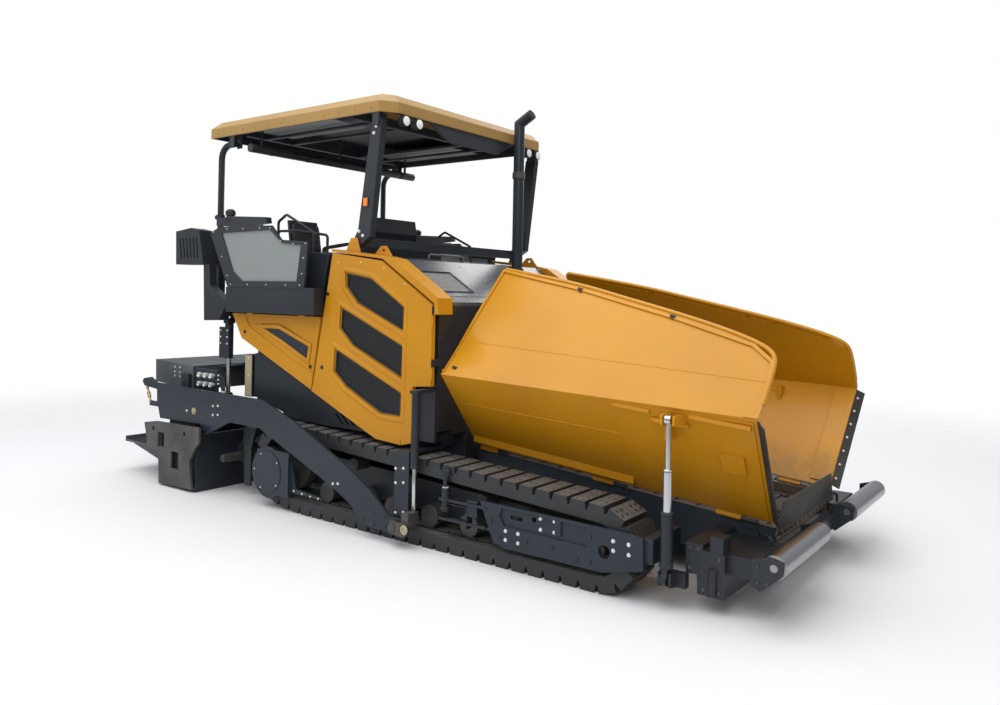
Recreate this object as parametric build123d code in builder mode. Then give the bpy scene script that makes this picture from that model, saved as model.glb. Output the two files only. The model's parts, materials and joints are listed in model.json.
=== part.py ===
from build123d import *
from math import atan2, cos, degrees, hypot, pi, radians, sin, sqrt
import os

os.makedirs("parts", exist_ok=True)

# Crawler asphalt paver, raised hopper, screed on the ground. Millimetres.
# +X is the way it drives, +Y its left side, +Z up, Z = 0 the ground.

# Overall
half_length = 3818
half_width = 1650
side_y = 1350          # outer face of the doors
wall_y = 1255          # outer face of the body behind the doors
body_rear = -1700
body_front = 780
deck_z = 1930
shell_t = 30


def save(piece, label):
    piece.label = label
    export_step(piece, f"parts/{label}.step")


def save_pair(builder, label):
    # The right-hand piece as drawn, and its mirror image on the left
    save(builder.part, f"{label}_right")
    with BuildPart() as other:
        mirror(builder.part, about=Plane.XZ)
    save(other.part, f"{label}_left")


def block(x, y, z, mode=Mode.ADD):
    # A box between two corners
    with Locations(((x[0] + x[1]) / 2, (y[0] + y[1]) / 2, (z[0] + z[1]) / 2)):
        Box(x[1] - x[0], y[1] - y[0], z[1] - z[0], mode=mode)


def slab(points, y, mode=Mode.ADD):
    # A side-view outline in X and Z, as thick as y runs
    with BuildSketch(Plane.XZ.offset(-y[1])) as outline:
        Polygon(*points, align=None)
    extrude(outline.sketch, amount=y[1] - y[0], mode=mode)


def cross(points, x, mode=Mode.ADD):
    # A front-view outline in Y and Z, as long as x runs
    with BuildSketch(Plane.YZ.offset(x[0])) as outline:
        Polygon(*points, align=None)
    extrude(outline.sketch, amount=x[1] - x[0], mode=mode)


def rod(start, end, radius, mode=Mode.ADD):
    # A round bar from one point to another
    direction = Vector(*end) - Vector(*start)
    with BuildSketch(Plane(origin=start, z_dir=direction)) as section:
        Circle(radius)
    extrude(section.sketch, amount=direction.length, mode=mode)


def pipe(points, bend, radius):
    # An eight-sided bar bent along a path of straight runs and equal bends
    with BuildLine() as path:
        FilletPolyline(*points, radius=bend)
    with BuildSketch(Plane(origin=path.line @ 0, z_dir=path.line % 0)) as section:
        RegularPolygon(radius, 8)
    sweep(section.sketch, path=path.line)


def both(y):
    # A stretch of Y on the right, and the same one on the left
    return (-y[1], -y[0]), (y[0], y[1])


def blocks(x, y, z, mode=Mode.ADD):
    for span in both(y):
        block(x, span, z, mode)


def slabs(points, y, mode=Mode.ADD):
    for span in both(y):
        slab(points, span, mode)


def discs(x, z, radius, y, mode=Mode.ADD):
    # Round bars across the machine, one on each side
    for low, high in both(y):
        rod((x, low, z), (x, high, z), radius, mode)


def posts(x, y, z, radius, mode=Mode.ADD):
    # Upright round bars, one on each side
    for side in (-1, 1):
        rod((x, side * y, z[0]), (x, side * y, z[1]), radius, mode)


# Tracks: sprocket at the rear, idler at the front, pads on the outside
track_y = (-1440, -1090)
pad_height = 58
link_depth = 70
sprocket = (-1040, 440, 410)        # x, z, radius over the pads
heel = (-700, 320, 320)             # where the loop comes down to the ground
idler = (2490, 318, 318)
shoe_count = 58


def loop_path(inset):
    # Straight and round stretches of the loop, drawn in by inset, run anticlockwise
    wheels = [(x, z, r - inset) for x, z, r in (sprocket, heel, idler)]
    stretches = []
    ends = []
    for (x0, z0, r0), (x1, z1, r1) in zip(wheels, wheels[1:] + wheels[:1]):
        reach = hypot(x1 - x0, z1 - z0)
        heading = atan2(z1 - z0, x1 - x0)
        turn = heading - pi / 2 + atan2(r0 - r1, sqrt(reach ** 2 - (r0 - r1) ** 2))
        ends.append(turn)
    for i, (x, z, r) in enumerate(wheels):
        start, stop = ends[i - 1], ends[i]
        while stop < start:
            stop += 2 * pi
        stretches.append(("arc", x, z, r, start, stop))
        x1, z1, r1 = wheels[(i + 1) % len(wheels)]
        a = (x + r * cos(ends[i]), z + r * sin(ends[i]))
        b = (x1 + r1 * cos(ends[i]), z1 + r1 * sin(ends[i]))
        stretches.append(("line", a, b, ends[i]))
    return stretches


def along_loop(stretches, distance):
    # The point and the outward angle at a distance along the loop
    for stretch in stretches:
        if stretch[0] == "arc":
            _, x, z, r, start, stop = stretch
            length = r * (stop - start)
            if distance <= length:
                angle = start + distance / r
                return x + r * cos(angle), z + r * sin(angle), angle
        else:
            _, a, b, angle = stretch
            length = hypot(b[0] - a[0], b[1] - a[1])
            if distance <= length:
                t = distance / length
                return a[0] + t * (b[0] - a[0]), a[1] + t * (b[1] - a[1]), angle
        distance -= length
    return along_loop(stretches, distance)


def loop_length(stretches):
    total = 0
    for stretch in stretches:
        if stretch[0] == "arc":
            total += stretch[3] * (stretch[5] - stretch[4])
        else:
            total += hypot(stretch[2][0] - stretch[1][0], stretch[2][1] - stretch[1][1])
    return total


shoe_base = loop_path(pad_height)
shoe_pitch = loop_length(shoe_base) / shoe_count
print("shoe pitch", round(shoe_pitch, 1))
# Corners of one shoe: part of the pitch from its middle, and height
shoe_corners = ((-0.46, 0), (-0.37, pad_height), (0.37, pad_height), (0.46, 0))

with BuildPart() as track:
    outline = []
    for shoe in range(shoe_count):
        for share, height in shoe_corners:
            x, z, angle = along_loop(shoe_base, (shoe + 0.5 + share) * shoe_pitch)
            outline.append((x + height * cos(angle), z + height * sin(angle)))
    slab(outline, track_y)
    inner = []
    inner_path = loop_path(pad_height + link_depth)
    inner_length = loop_length(inner_path)
    for step in range(80):
        x, z, angle = along_loop(inner_path, step / 80 * inner_length)
        inner.append((x, z))
    slab(inner, track_y, mode=Mode.SUBTRACT)
save_pair(track, "track")

# Wheels inside the tracks: sprocket and idler with their axles, bottom and carrier rollers
wheel_gap = 15
belt = pad_height + link_depth
roller_r = 95
roller_low = belt + roller_r + wheel_gap
guard_inner = 1455
with BuildPart() as wheels:
    discs(sprocket[0], sprocket[1], sprocket[2] - belt - wheel_gap, (1210, 1320))
    discs(sprocket[0], sprocket[1], 120, (1320, 1450))
    discs(idler[0], idler[1], idler[2] - belt - wheel_gap, (1200, 1330))
    discs(idler[0], idler[1], 60, (1330, guard_inner))
    for low, high in both((1185, 1345)):
        with BuildSketch(Plane.XZ.offset(-high)) as rollers:
            with Locations([(x, roller_low) for x in range(-500, 2100, 430)]):
                RegularPolygon(roller_r, 16)
            with Locations((-150, 546), (1350, 455)):
                RegularPolygon(58, 16)
        extrude(rollers.sketch, amount=high - low)
save(wheels.part, "track_wheels")

# Track frames: the beams that carry the wheels, and the arms to the chassis
with BuildPart() as track_frame:
    slabs([(-1100, 240), (2560, 200), (2560, 400), (400, 500), (-1100, 560)], (1095, 1180))
    for x in ((-600, -200), (1300, 1700)):
        blocks(x, (1045, 1095), (300, 480))
    blocks((1300, 2845), (1030, 1060), (300, 420))
save(track_frame.part, "track_frames")

# Rear guards: round final-drive cases with a flat front, and a foot along the track
case_y = (1450, 1500)
with BuildPart() as guard_rear:
    for low, high in both(case_y):
        with BuildSketch(Plane.XZ.offset(-high)) as case:
            with Locations((-1181, 350)):
                Circle(250)
            with Locations((-1026, 360)):
                Rectangle(310, 430)
        extrude(case.sketch, amount=high - low)
    discs(-1196, 356, 205, (1500, 1508))
    slabs([(-871, 195), (-418, 195), (-418, 212), (-800, 240), (-871, 531)], (1450, 1475))
    blocks((-886, -866), (1475, 1512), (179, 531))
save(guard_rear.part, "track_guards_rear")

# Front guards: castings outside the tracks, closed by a box ahead of the idler
guard_y = (guard_inner, 1490)
guard_outline = [(1445, 504), (1584, 201), (1700, 178), (2550, 177), (2870, 252), (2866, 472), (2787, 487)]
with BuildPart() as guard_front:
    slabs(guard_outline, guard_y)
    slabs([(1660, 485), (2424, 471), (2427, 329), (1680, 344), (1636, 416)], (1472, 1491), mode=Mode.SUBTRACT)
    blocks((2148, 2200), (1472, 1490), (365, 488))
    discs(2565, 326, 48, (guard_inner - 1, 1491), mode=Mode.SUBTRACT)
    discs(1952, 439, 20, (guard_inner - 1, 1473), mode=Mode.SUBTRACT)
    blocks((1733, 1845), (guard_inner - 1, 1473), (405, 440), mode=Mode.SUBTRACT)
    blocks((2845, 2925), (1000, 1456), (300, 470))
    for z in ((282, 300), (440, 458)):
        blocks((1010, 1540), (1460, 1482), z)
    posts(1070, 1471, (365, 687), 18)
save(guard_front.part, "track_guards_front")

# Chassis: belly box with the tunnel for the conveyors right through it
tunnel_y = 640
tunnel_z = (260, 760)
with BuildPart() as chassis:
    block((body_rear, body_front), (-860, 860), (180, 900))
    block((body_rear - 10, body_front + 10), (-tunnel_y, tunnel_y), tunnel_z, mode=Mode.SUBTRACT)
    block((body_rear, body_front), (-1040, 1040), (900, 940))
    blocks((-600, -200), (850, 1045), (300, 900))
    blocks((400, 700), (850, 1045), (780, 900))
    blocks((600, 1400), (860, 1030), (300, 420))
save(chassis.part, "chassis")

with BuildPart() as engine:
    block((-700, 500), (-450, 450), (945, 1800))
save(engine.part, "engine_block")

# Body shell: rear and front walls, deck, pillars behind the doors, feet of the canopy posts
door_pin = (790, 1352)
lift_x = -2140
lift_y = 1300
with BuildPart() as body:
    block((-2560, -900), (-1285, 1285), (1880, deck_z))
    block((body_rear, body_rear + shell_t), (-wall_y, wall_y), (940, 1880))
    block((body_front - shell_t, body_front), (-wall_y, wall_y), (940, 2026))
    block((-900, -870), (-wall_y, wall_y), (1880, 2520))
    slabs([(-880, 2520), (-548, 2490), (-883 + 200, 1943), (-640, 1905), (-880, 1905)], (1250, 1330))
    blocks((body_rear, body_front), (wall_y - shell_t, wall_y), (940, 1880))
    for height in (1510, 1960):
        blocks((785, 795), (wall_y - 30, door_pin[1]), (height, height + 60))
        blocks((779, 786), (wall_y - 30, wall_y), (height, height + 60))
        posts(door_pin[0], door_pin[1], (height, height + 60), 7)
    blocks((-2455, -2375), (1200, 1284), (deck_z, 2520))
    blocks((-2445, -2385), (1194, 1204), (2440, 2625))
    blocks((-2445, -2385), (1288, 1298), (2440, 2625))
    blocks((-2445, -2385), (1200, 1298), (2440, 2520))
    blocks((lift_x - 60, lift_x + 60), (1240, 1350), (1850, 1880))
    for y in ((1254, 1266), (1334, 1346)):
        blocks((lift_x - 40, lift_x + 40), y, (1775, 1850))
    blocks((-1872, body_rear + 10), (1230, 1255), (1019, 1461))
    blocks((-1872, -1754), (1255, 1285), (1019, 1461))
save(body.part, "body_shell")

# Lower side panels below the doors, with slanted cooling slots
with BuildPart() as side_panel:
    slabs([(body_rear, 1037), (-1041, 862), (-579, 850), (body_front, 850), (body_front, 1300), (-700, 1300),
           (-1190, 1400), (-1640, 1480), (body_rear, 1480)], (1260, 1290))
    for x in (-478, -400, -322):
        slabs([(x, 985), (x + 34, 985), (x + 134, 885), (x + 100, 885)], (1259, 1291), mode=Mode.SUBTRACT)
save(side_panel.part, "side_panels")

# Hood: flat behind, sloping in front; the lid takes most of the right side
hood_bend = (150, 2450)
hood_nose = (body_front, 2060)
hood_slope = (hood_nose[1] - hood_bend[1]) / (hood_nose[0] - hood_bend[0])
hood_tail = (-865, 2530)
hood_side = 1150
sheet = 32
lid_y = (-1100, 520)
stack = (235, 650)
with BuildPart() as hood:
    slab([hood_tail, hood_bend, hood_nose, (hood_nose[0], hood_nose[1] - sheet),
          (hood_bend[0], hood_bend[1] - sheet), (hood_tail[0], hood_tail[1] - sheet)], (-hood_side, hood_side))
    block((-145, 705), (lid_y[0] - 6, lid_y[1] + 6), (1900, 2700), mode=Mode.SUBTRACT)
    block((stack[0] - 75, stack[0] + 75), (stack[1] - 75, stack[1] + 75), (2200, 2600), mode=Mode.SUBTRACT)
save(hood.part, "hood")


def slope_z(x):
    return hood_bend[1] + hood_slope * (x - hood_bend[0])


# Lid with a slatted air outlet on its slope, a grab rail and hinge barrels
lid_x = (-135, 695)
lid_rear_z = 2472
outlet = (345, 610, -1088, -600)
with BuildPart() as lid:
    slab([(lid_x[0], lid_rear_z), hood_bend, (lid_x[1], slope_z(lid_x[1])), (lid_x[1], slope_z(lid_x[1]) - sheet),
          (hood_bend[0], hood_bend[1] - sheet), (lid_x[0], lid_rear_z - sheet)], lid_y)
    block(outlet[:2], outlet[2:], (1900, 2700), mode=Mode.SUBTRACT)
    for i in range(8):
        x = outlet[0] + 12 + 32 * i
        slab([(x, slope_z(x) - 6), (x + 26, slope_z(x + 26) - 22), (x + 20, slope_z(x + 20) - 28),
              (x - 6, slope_z(x - 6) - 12)], (outlet[2] - 1, outlet[3] + 1))
    pipe([(75, -614, 2450), (75, -614, 2515), (75, -95, 2515), (75, -95, 2450)], 28, 11)
    for y in (-1000, 320):
        rod((lid_x[0], y, lid_rear_z), (lid_x[0], y + 90, lid_rear_z), 8)
save(lid.part, "hood_lid")

# Shoulders: bands from the hood down to the doors
ledge = ((-498, 2538), (178, 2462))
ledge_slope = (ledge[1][1] - ledge[0][1]) / (ledge[1][0] - ledge[0][0])


def ledge_z(x):
    return ledge[0][1] + ledge_slope * (x - ledge[0][0])


with BuildPart() as shoulder:
    slabs([ledge[0], ledge[1], (300, 2437), (840, 2096), (848, 1955), (800, 1955), (800, 2050), (172, 2438),
           (-498, 2513)], (1156, 1345))
save(shoulder.part, "shoulders")

# Lifting lugs: eared plates on the ledge beside the feet of the canopy
lug_hole = (30, 2525, 16)
with BuildPart() as lug:
    slabs([(-349, ledge_z(-349)), (-160, ledge_z(-160)), (-205, 2640), (-290, 2640)], (1290, 1301))
    discs(-245, 2590, 14, (1284, 1304))
    slabs([(-82, ledge_z(-82)), (138, ledge_z(138)), (60, 2566), (-5, 2566)], (1175, 1190))
    discs(*lug_hole, (1174, 1191), mode=Mode.SUBTRACT)
save(lug.part, "lifting_lugs")

# Doors: sunk rims round the windows, a folded lower edge, barrels on the hinge line
door_t = 45
rim = 28
rim_depth = 12
door_front = [(-481, 2500), (165, 2420), (782, 2035), (782, 1340), (571, 1323), (565, 828), (448, 800),
              (141, 818), (-735, 1175)]
fold_front = [(448, 800), (141, 818), (-735, 1175), (-727, 1222), (152, 864), (440, 846)]
door_rear = [(-2020, 1890), (-632, 1890), (-752, 1185), (-1854, 1634)]
press_outer = [(-1791, 1850), (-1120, 1860), (-1040, 1816), (-690, 1650), (-735, 1345), (-1131, 1492), (-1727, 1760)]
press_inner = [(-1535, 1798), (-1190, 1808), (-783, 1610), (-820, 1478), (-1468, 1750)]
windows = (
    [(-281, 2302), (26, 2252), (435, 2003), (430, 1817), (-130, 2042), (-277, 2186)],
    [(-338, 1971), (424, 1660), (421, 1402), (-184, 1651), (-349, 1797)],
    [(-406, 1577), (419, 1245), (416, 1058), (186, 1061), (-261, 1262), (-419, 1389)],
)
with BuildPart() as big_door:
    slab(door_front, (-side_y, -side_y + door_t))
    for window in windows:
        with BuildSketch(Plane.XZ.offset(side_y)) as surround:
            Polygon(*window, align=None)
            offset(amount=rim, kind=Kind.INTERSECTION)
        extrude(surround.sketch, amount=-rim_depth, mode=Mode.SUBTRACT)
        slab(window, (-side_y - 1, -side_y + door_t + 1), mode=Mode.SUBTRACT)
    slab(fold_front, (-side_y - 6, -side_y))
    for height in (1400, 1850):
        rod((door_pin[0], -door_pin[1], height), (door_pin[0], -door_pin[1], height + 95), 9)
save_pair(big_door, "door_front")
with BuildPart() as mesh:
    for window in windows:
        slab(window, (-side_y + 20, -side_y + 26))
save_pair(mesh, "door_mesh")
with BuildPart() as small_door:
    slab(door_rear, (-side_y, -side_y + door_t))
    slab(press_outer, (-side_y - 1, -side_y + 8), mode=Mode.SUBTRACT)
    slab(press_inner, (-side_y + 7, -side_y + 16), mode=Mode.SUBTRACT)
    for x in (-1760, -950):
        rod((x, -door_pin[1], 1893), (x + 90, -door_pin[1], 1893), 8)
save_pair(small_door, "door_rear")

# Hopper: drawn along its own floor, which falls towards the front
hinge_rear = (790, 750)
hopper_tilt = 5.02
along = (cos(radians(hopper_tilt)), -sin(radians(hopper_tilt)))
hinge_y = 714
knee_y = 1310


def hopper_plane(u):
    # Across the hopper, at a distance from its rear edge
    origin = (hinge_rear[0] + u * along[0], 0, hinge_rear[1] + u * along[1])
    return Plane(origin=origin, x_dir=(0, 1, 0), z_dir=(along[0], 0, along[1]))


def hopper_shape(u, points):
    with BuildSketch(hopper_plane(u[0])) as section:
        Polygon(*points, align=None)
    extrude(section.sketch, amount=u[1] - u[0])


def hopper_box(u, y, w):
    # A box with its length along the hopper and w square to its floor
    hopper_shape(u, [(y[0], w[0]), (y[1], w[0]), (y[1], w[1]), (y[0], w[1])])


def hopper_bar(u, y, w, radius):
    # A round bar along the hopper
    with BuildSketch(hopper_plane(u[0])) as section:
        with Locations((y, w)):
            Circle(radius)
    extrude(section.sketch, amount=u[1] - u[0])


hinge_r = 17
hinge_starts = (60, 1240, 2300)
knuckle = 190
with BuildPart() as hopper:
    hopper_box((24, 2690), (-660, 660), (-150, -130))
    for side in (-1, 1):
        hopper_box((24, 2260), sorted((side * 660, side * 690)), (-330, -12))
        hopper_box((2250, 2740), sorted((side * 660, side * 690)), (-200, -12))
        for start in hinge_starts:
            u = (start + knuckle + 5, start + knuckle + 120)
            hopper_bar(u, side * hinge_y, 0, hinge_r)
            hopper_box(u, sorted((side * 685, side * 706)), (-60, 8))
    hopper_box((2690, 2720), (-661, 661), (-200, -130))
save(hopper.part, "hopper_floor")

# Front apron with its clamping strip
with BuildPart() as flap:
    hopper_shape((2748, 2762), [(-735, -60), (735, -60), (611, 175), (-611, 175)])
    hopper_box((2762, 2774), (-700, 700), (-60, -22))
save(flap.part, "front_flap")

# Wings: a lower panel from the hinge out to the knee, an upper panel leaning in
wing_t = 18
lower_edge = (-hinge_y - 6, 26)
knee_heights = ((6, 702), (2735, 843))
# The upper panel's edge from the rear to the front: distance along, half-width, height
upper_edge = (
    (6, 539, 1620),
    (913, 650, 1537),
    (1853, 805, 1416),
    (2531, 940, 1310),
    (2709, 1021, 1212),
    (2722, 1118, 1095),
    (2735, 1260, 925),
)
notches = (923, 1840)


def wing_line(u):
    # The lower panel's outer line at a distance along the hopper, from the hinge to the knee
    (u0, w0), (u1, w1) = knee_heights
    return lower_edge, (-knee_y, w0 + (u - u0) / (u1 - u0) * (w1 - w0))


def wing_patch(u, share, depth):
    # Part of the lower panel between two distances along, two shares of its height and two depths
    faces = []
    for distance in u:
        (y0, w0), (y1, w1) = wing_line(distance)
        length = hypot(y1 - y0, w1 - w0)
        run = ((y1 - y0) / length, (w1 - w0) / length)
        inward = (run[1], -run[0])
        corners = []
        for s, t in ((share[0], depth[0]), (share[1], depth[0]), (share[1], depth[1]), (share[0], depth[1])):
            corners.append((y0 + s * length * run[0] + t * inward[0], w0 + s * length * run[1] + t * inward[1]))
        with BuildSketch(hopper_plane(distance)) as section:
            Polygon(*corners, align=None)
        faces.append(section.sketch.faces()[0])
    loft(faces, ruled=True)


def hopper_point(u, y, w):
    return hopper_plane(u).from_local_coords(Vector(y, w, 0))


knee_rear = hopper_point(6, -knee_y, knee_heights[0][1])
knee_front = hopper_point(2735, -knee_y, knee_heights[1][1])
top_rear = hopper_point(6, -upper_edge[0][1], upper_edge[0][2])
knee_run = (knee_front - knee_rear).normalized()
outward = knee_run.cross(top_rear - knee_rear).normalized()
upper_plane = Plane(origin=knee_rear, x_dir=knee_run, z_dir=outward)


def on_upper(u, y, w):
    point = upper_plane.to_local_coords(hopper_point(u, -y, w))
    return point.X, point.Y


upper_outline = [on_upper(6, knee_y, knee_heights[0][1]), on_upper(2735, knee_y, knee_heights[1][1])]
upper_outline += [on_upper(*row) for row in upper_edge[::-1]]

cyl_x = 3008
cyl_y = -1415
cyl_foot = 215
cyl_top = 1300
with BuildPart() as wing:
    wing_patch((6, 2735), (0, 1), (0, wing_t))
    with BuildSketch(upper_plane) as upper:
        Polygon(*upper_outline, align=None)
        for u in notches:
            rear, front = [row for row in zip(upper_edge, upper_edge[1:]) if row[0][0] <= u <= row[1][0]][0]
            part = (u - rear[0]) / (front[0] - rear[0])
            with Locations(on_upper(*[a + part * (b - a) for a, b in zip(rear, front)])):
                Circle(26, mode=Mode.SUBTRACT)
    extrude(upper.sketch, amount=-wing_t)
    with BuildSketch(upper_plane) as lip:
        Polygon(*upper_outline, align=None)
        offset(amount=-28, kind=Kind.INTERSECTION, mode=Mode.SUBTRACT)
        with Locations((1300, 0)):
            Rectangle(2660, 60, mode=Mode.SUBTRACT)
        with Locations((0, 600)):
            Rectangle(52, 1120, mode=Mode.SUBTRACT)
    extrude(lip.sketch, amount=14)
    wing_patch((1643, 2700), (0.02, 0.97), (-8, 0.5))
    wing_patch((2430, 2603), (0.47, 0.64), (-34, -7))
    for u, y, w in (((1644, 1949), (-1296, -1262), (735, 762)), ((2248, 2686), (-1296, -1262), (755, 785)),
                    ((1959, 2235), (-1262, -1205), (678, 706)), ((2078, 2108), (-1270, -1150), (560, 760)),
                    ((30, 1640), (-800, -778), (60, 118))):
        hopper_box(u, y, w)
    for start in hinge_starts:
        hopper_bar((start, start + knuckle), -hinge_y, 0, hinge_r)
        hopper_box((start, start + knuckle), (-724, -708), (0, 38))
    for x in (cyl_x - 50, cyl_x + 42):
        cross([(cyl_y - 34, cyl_top - 34), (cyl_y + 34, cyl_top - 34), (-1205, 1240), (-1268, 1328),
               (cyl_y + 34, cyl_top + 34), (cyl_y - 34, cyl_top + 34)], (x, x + 16))
save_pair(wing, "hopper_wing")

# Bolted wear strips on the inside of the wings' front edges
with BuildPart() as edge_strip:
    wing_patch((2560, 2737), (0.04, 0.96), (wing_t + 0.3, wing_t + 12))
save_pair(edge_strip, "wing_edge")

# Wing cylinders: a barrel on the frame and two stages that draw in as the wing comes down
stage_fit = 1.5
foot_turn = radians(8)
foot_run = (21 * cos(foot_turn), -21 * sin(foot_turn))
with BuildPart() as wing_barrel:
    rod((cyl_x, cyl_y, cyl_foot + 75), (cyl_x, cyl_y, 650), 42)
    block((cyl_x - 21, cyl_x + 21), (cyl_y - 36, cyl_y + 36), (cyl_foot, cyl_foot + 80))
    rod((cyl_x, cyl_y, 320), (cyl_x, cyl_y, 651), 30 + stage_fit, mode=Mode.SUBTRACT)
    rod((cyl_x - foot_run[0], cyl_y - foot_run[1], cyl_foot),
        (cyl_x + foot_run[0], cyl_y + foot_run[1], cyl_foot), 48)
save_pair(wing_barrel, "wing_barrel")
with BuildPart() as wing_stage:
    rod((cyl_x, cyl_y, 592), (cyl_x, cyl_y, 945), 30)
    rod((cyl_x, cyl_y, 610), (cyl_x, cyl_y, 946), 20 + stage_fit, mode=Mode.SUBTRACT)
save_pair(wing_stage, "wing_stage")
with BuildPart() as wing_rod:
    rod((cyl_x, cyl_y, 885), (cyl_x, cyl_y, cyl_top - 20), 18)
    rod((cyl_x - 21, cyl_y, cyl_top), (cyl_x + 21, cyl_y, cyl_top), 32)
save_pair(wing_rod, "wing_rod")

# Push beam with its end boxes and the feet of the wing cylinders
roller_x = 3740
roller_z = 440
roller_y = (386, 1396)
end_box = [(3096, 459), (3217, 455), (3223, 422), (3375, 409), (3375, 116), (3187, 122), (3179, 255), (3100, 249)]
cheek = [(3600, 300), (3655, 274), (3790, 392), (3800, 480), (3700, 500), (3600, 470)]
hook_path = [(3420, 760, 400), (3420, 760, 470), (3540, 860, 470), (3540, 860, 400)]
with BuildPart() as push_beam:
    block((3190, 3375), (-720, 720), (116, 250))
    block((3560, 3640), (-1240, 1240), (290, 400))
    block((2880, 3200), (-660, 660), (150, 250))
    slabs(end_box, (700, 1300))
    blocks((3370, 3578), (710, 1240), (278, 410))
    blocks((3268, 3361), (1150, 1290), (400, 521))
    posts(3295, 1306, (141, 308), 30)
    blocks((2930, 3120), (1290, 1352), (150, 250))
    for x in (cyl_x - 50, cyl_x + 34):
        cross([(1345, 150), (1450, 170), (1450, 262), (1345, 262)], (x, x + 16))
        cross([(-1345, 150), (-1450, 170), (-1450, 262), (-1345, 262)], (x, x + 16))
    for y in (roller_y[0] - 22, roller_y[1] + 4):
        slabs(cheek, (y, y + 18))
        discs(roller_x, roller_z, 26.5, (y - 1, y + 19), mode=Mode.SUBTRACT)
    blocks((3600, 3640), (1200, 1418), (302, 396))
    pipe(hook_path, 28, 11)
    pipe([(x, -y, z) for x, y, z in hook_path], 28, 11)
save(push_beam.part, "push_beam")
with BuildPart() as push_roller:
    rod((roller_x, -roller_y[1], roller_z), (roller_x, -roller_y[0], roller_z), 78)
    rod((roller_x, -roller_y[1] - 20, roller_z), (roller_x, -roller_y[0] + 20, roller_z), 25)
save_pair(push_roller, "push_roller")

# Conveyors: two beds with crosswise slats from the hopper to the augers
slat_pitch = 190
tunnel_floor = (410, 430)
with BuildPart() as conveyor:
    for side in (-1, 1):
        span = sorted((side * 640, side * 30))
        hopper_box((30, 2680), span, (-129.5, -112))
        for i in range(14):
            hopper_box((60 + slat_pitch * i, 95 + slat_pitch * i), span, (-113, -96))
        block((-1690, 770), sorted((side * 630, side * 30)), tunnel_floor)
        for i in range(13):
            x = -1650 + slat_pitch * i
            block((x, x + 35), sorted((side * 630, side * 30)), (tunnel_floor[1] - 1, tunnel_floor[1] + 16))
    blocks((-1690, 770), (630, tunnel_y), tunnel_floor)
save(conveyor.part, "conveyors")

# Tow points: carriers that slide on upright guides, moved by the levelling cylinders
tow_pin = (625, 170)
arm_y = (1545, 1575)
level = (752, 1500)
with BuildPart() as guide:
    slabs([(541, 110), (704, 110), (704, 795), (565, 795), (541, 771)], (1505, 1520))
    blocks((560, 690), (1045, 1505), (765, 790))
save(guide.part, "tow_guides")
with BuildPart() as carrier:
    discs(*tow_pin, 30, (1530, 1610))
    slabs([(585, 120), (740, 105), (790, 130), (790, 225), (600, 225)], (1610, 1630))
    blocks((715, 790), (1480, 1612), (200, 305))
    posts(level[0], level[1], (300, 730), 18)
save(carrier.part, "tow_points")
with BuildPart() as level_barrel:
    posts(level[0], level[1], (690, 1318), 34)
    posts(level[0], level[1], (689, 1200), 20, mode=Mode.SUBTRACT)
    blocks((712, 768), (1290, 1534), (1290, 1318))
save(level_barrel.part, "levelling_cylinders")

# Tow arms
lift_eye = 1000
arm_outline = [(-3320, 1118), (-3197, 1139), (-3073, 1088), (-2362, 1076), (-1214, 1064), (-715, 899), (15, 574),
               (295, 424), (541, 235), (680, 235), (680, 110), (230, 105), (167, 159), (63, 264), (-174, 377),
               (-1236, 788), (-1721, 790), (-2111, 617), (-2222, 719), (-2978, 703), (-3046, 895), (-3052, 1015),
               (-3310, 1038), (-3348, 1085)]
with BuildPart() as tow_arm:
    slabs(arm_outline, arm_y)
    discs(*tow_pin, 31.5, (arm_y[0] - 1, arm_y[1] + 1), mode=Mode.SUBTRACT)
    blocks((-2200, -2080), (1350, arm_y[0] + 1), (960, 1040))
save(tow_arm.part, "tow_arms")

# Lift cylinders, with flat covers outside the barrels
with BuildPart() as lift_barrel:
    posts(lift_x, lift_y, (1400, 1760), 45)
    posts(lift_x, lift_y, (1399, 1740), 26, mode=Mode.SUBTRACT)
    discs(lift_x, 1790, 40, (lift_y - 30, lift_y + 30))
    blocks((-2250, -2080), (1332, 1346), (1405, 1735))
save(lift_barrel.part, "lift_barrels")
with BuildPart() as lift_rod:
    posts(lift_x, lift_y, (lift_eye + 30, 1460), 24)
    discs(lift_x, lift_eye, 36, (lift_y - 40, lift_y + 40))
save(lift_rod.part, "lift_rods")

# Screed: an open steel box with posts for the tow arms
with BuildPart() as screed:
    block((-2900, -2240), (-1600, 1600), (0, 600))
    block((-2875, -2265), (-1580, 1580), (25, 575), mode=Mode.SUBTRACT)
    block((-2875, -2265), (-1400, 1400), (570, 601), mode=Mode.SUBTRACT)
    block((-2876, -2264), (-12, 12), (24, 560))
    slabs([(-2850, 600), (-2330, 600), (-2360, 700), (-2400, 900), (-2800, 900)], (1440, arm_y[0]))
    blocks((-2790, -2660), (1400, 1441), (599, 1200))
save(screed.part, "screed")
end_outline = [(-3163, 647), (-2931, 683), (-2124, 697), (-2129, 531), (-2205, 459), (-2290, 323), (-2244, 38),
               (-2857, 17), (-2879, 373), (-3099, 367), (-3125, 518)]
end_holes = (((-2886, -2764), (416, 571)), ((-2628, -2489), (213, 394)), ((-3000, -2960), (580, 620)),
             ((-2410, -2370), (584, 624)))
with BuildPart() as end_plate:
    slabs(end_outline, (1625, half_width))
    for x, z in end_holes:
        blocks(x, (1624, half_width + 1), z, mode=Mode.SUBTRACT)
    blocks((-2460, -2300), (1600, 1626), (60, 500))
    blocks((-2850, -2700), (1600, 1626), (60, 200))
save(end_plate.part, "screed_ends")

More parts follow.
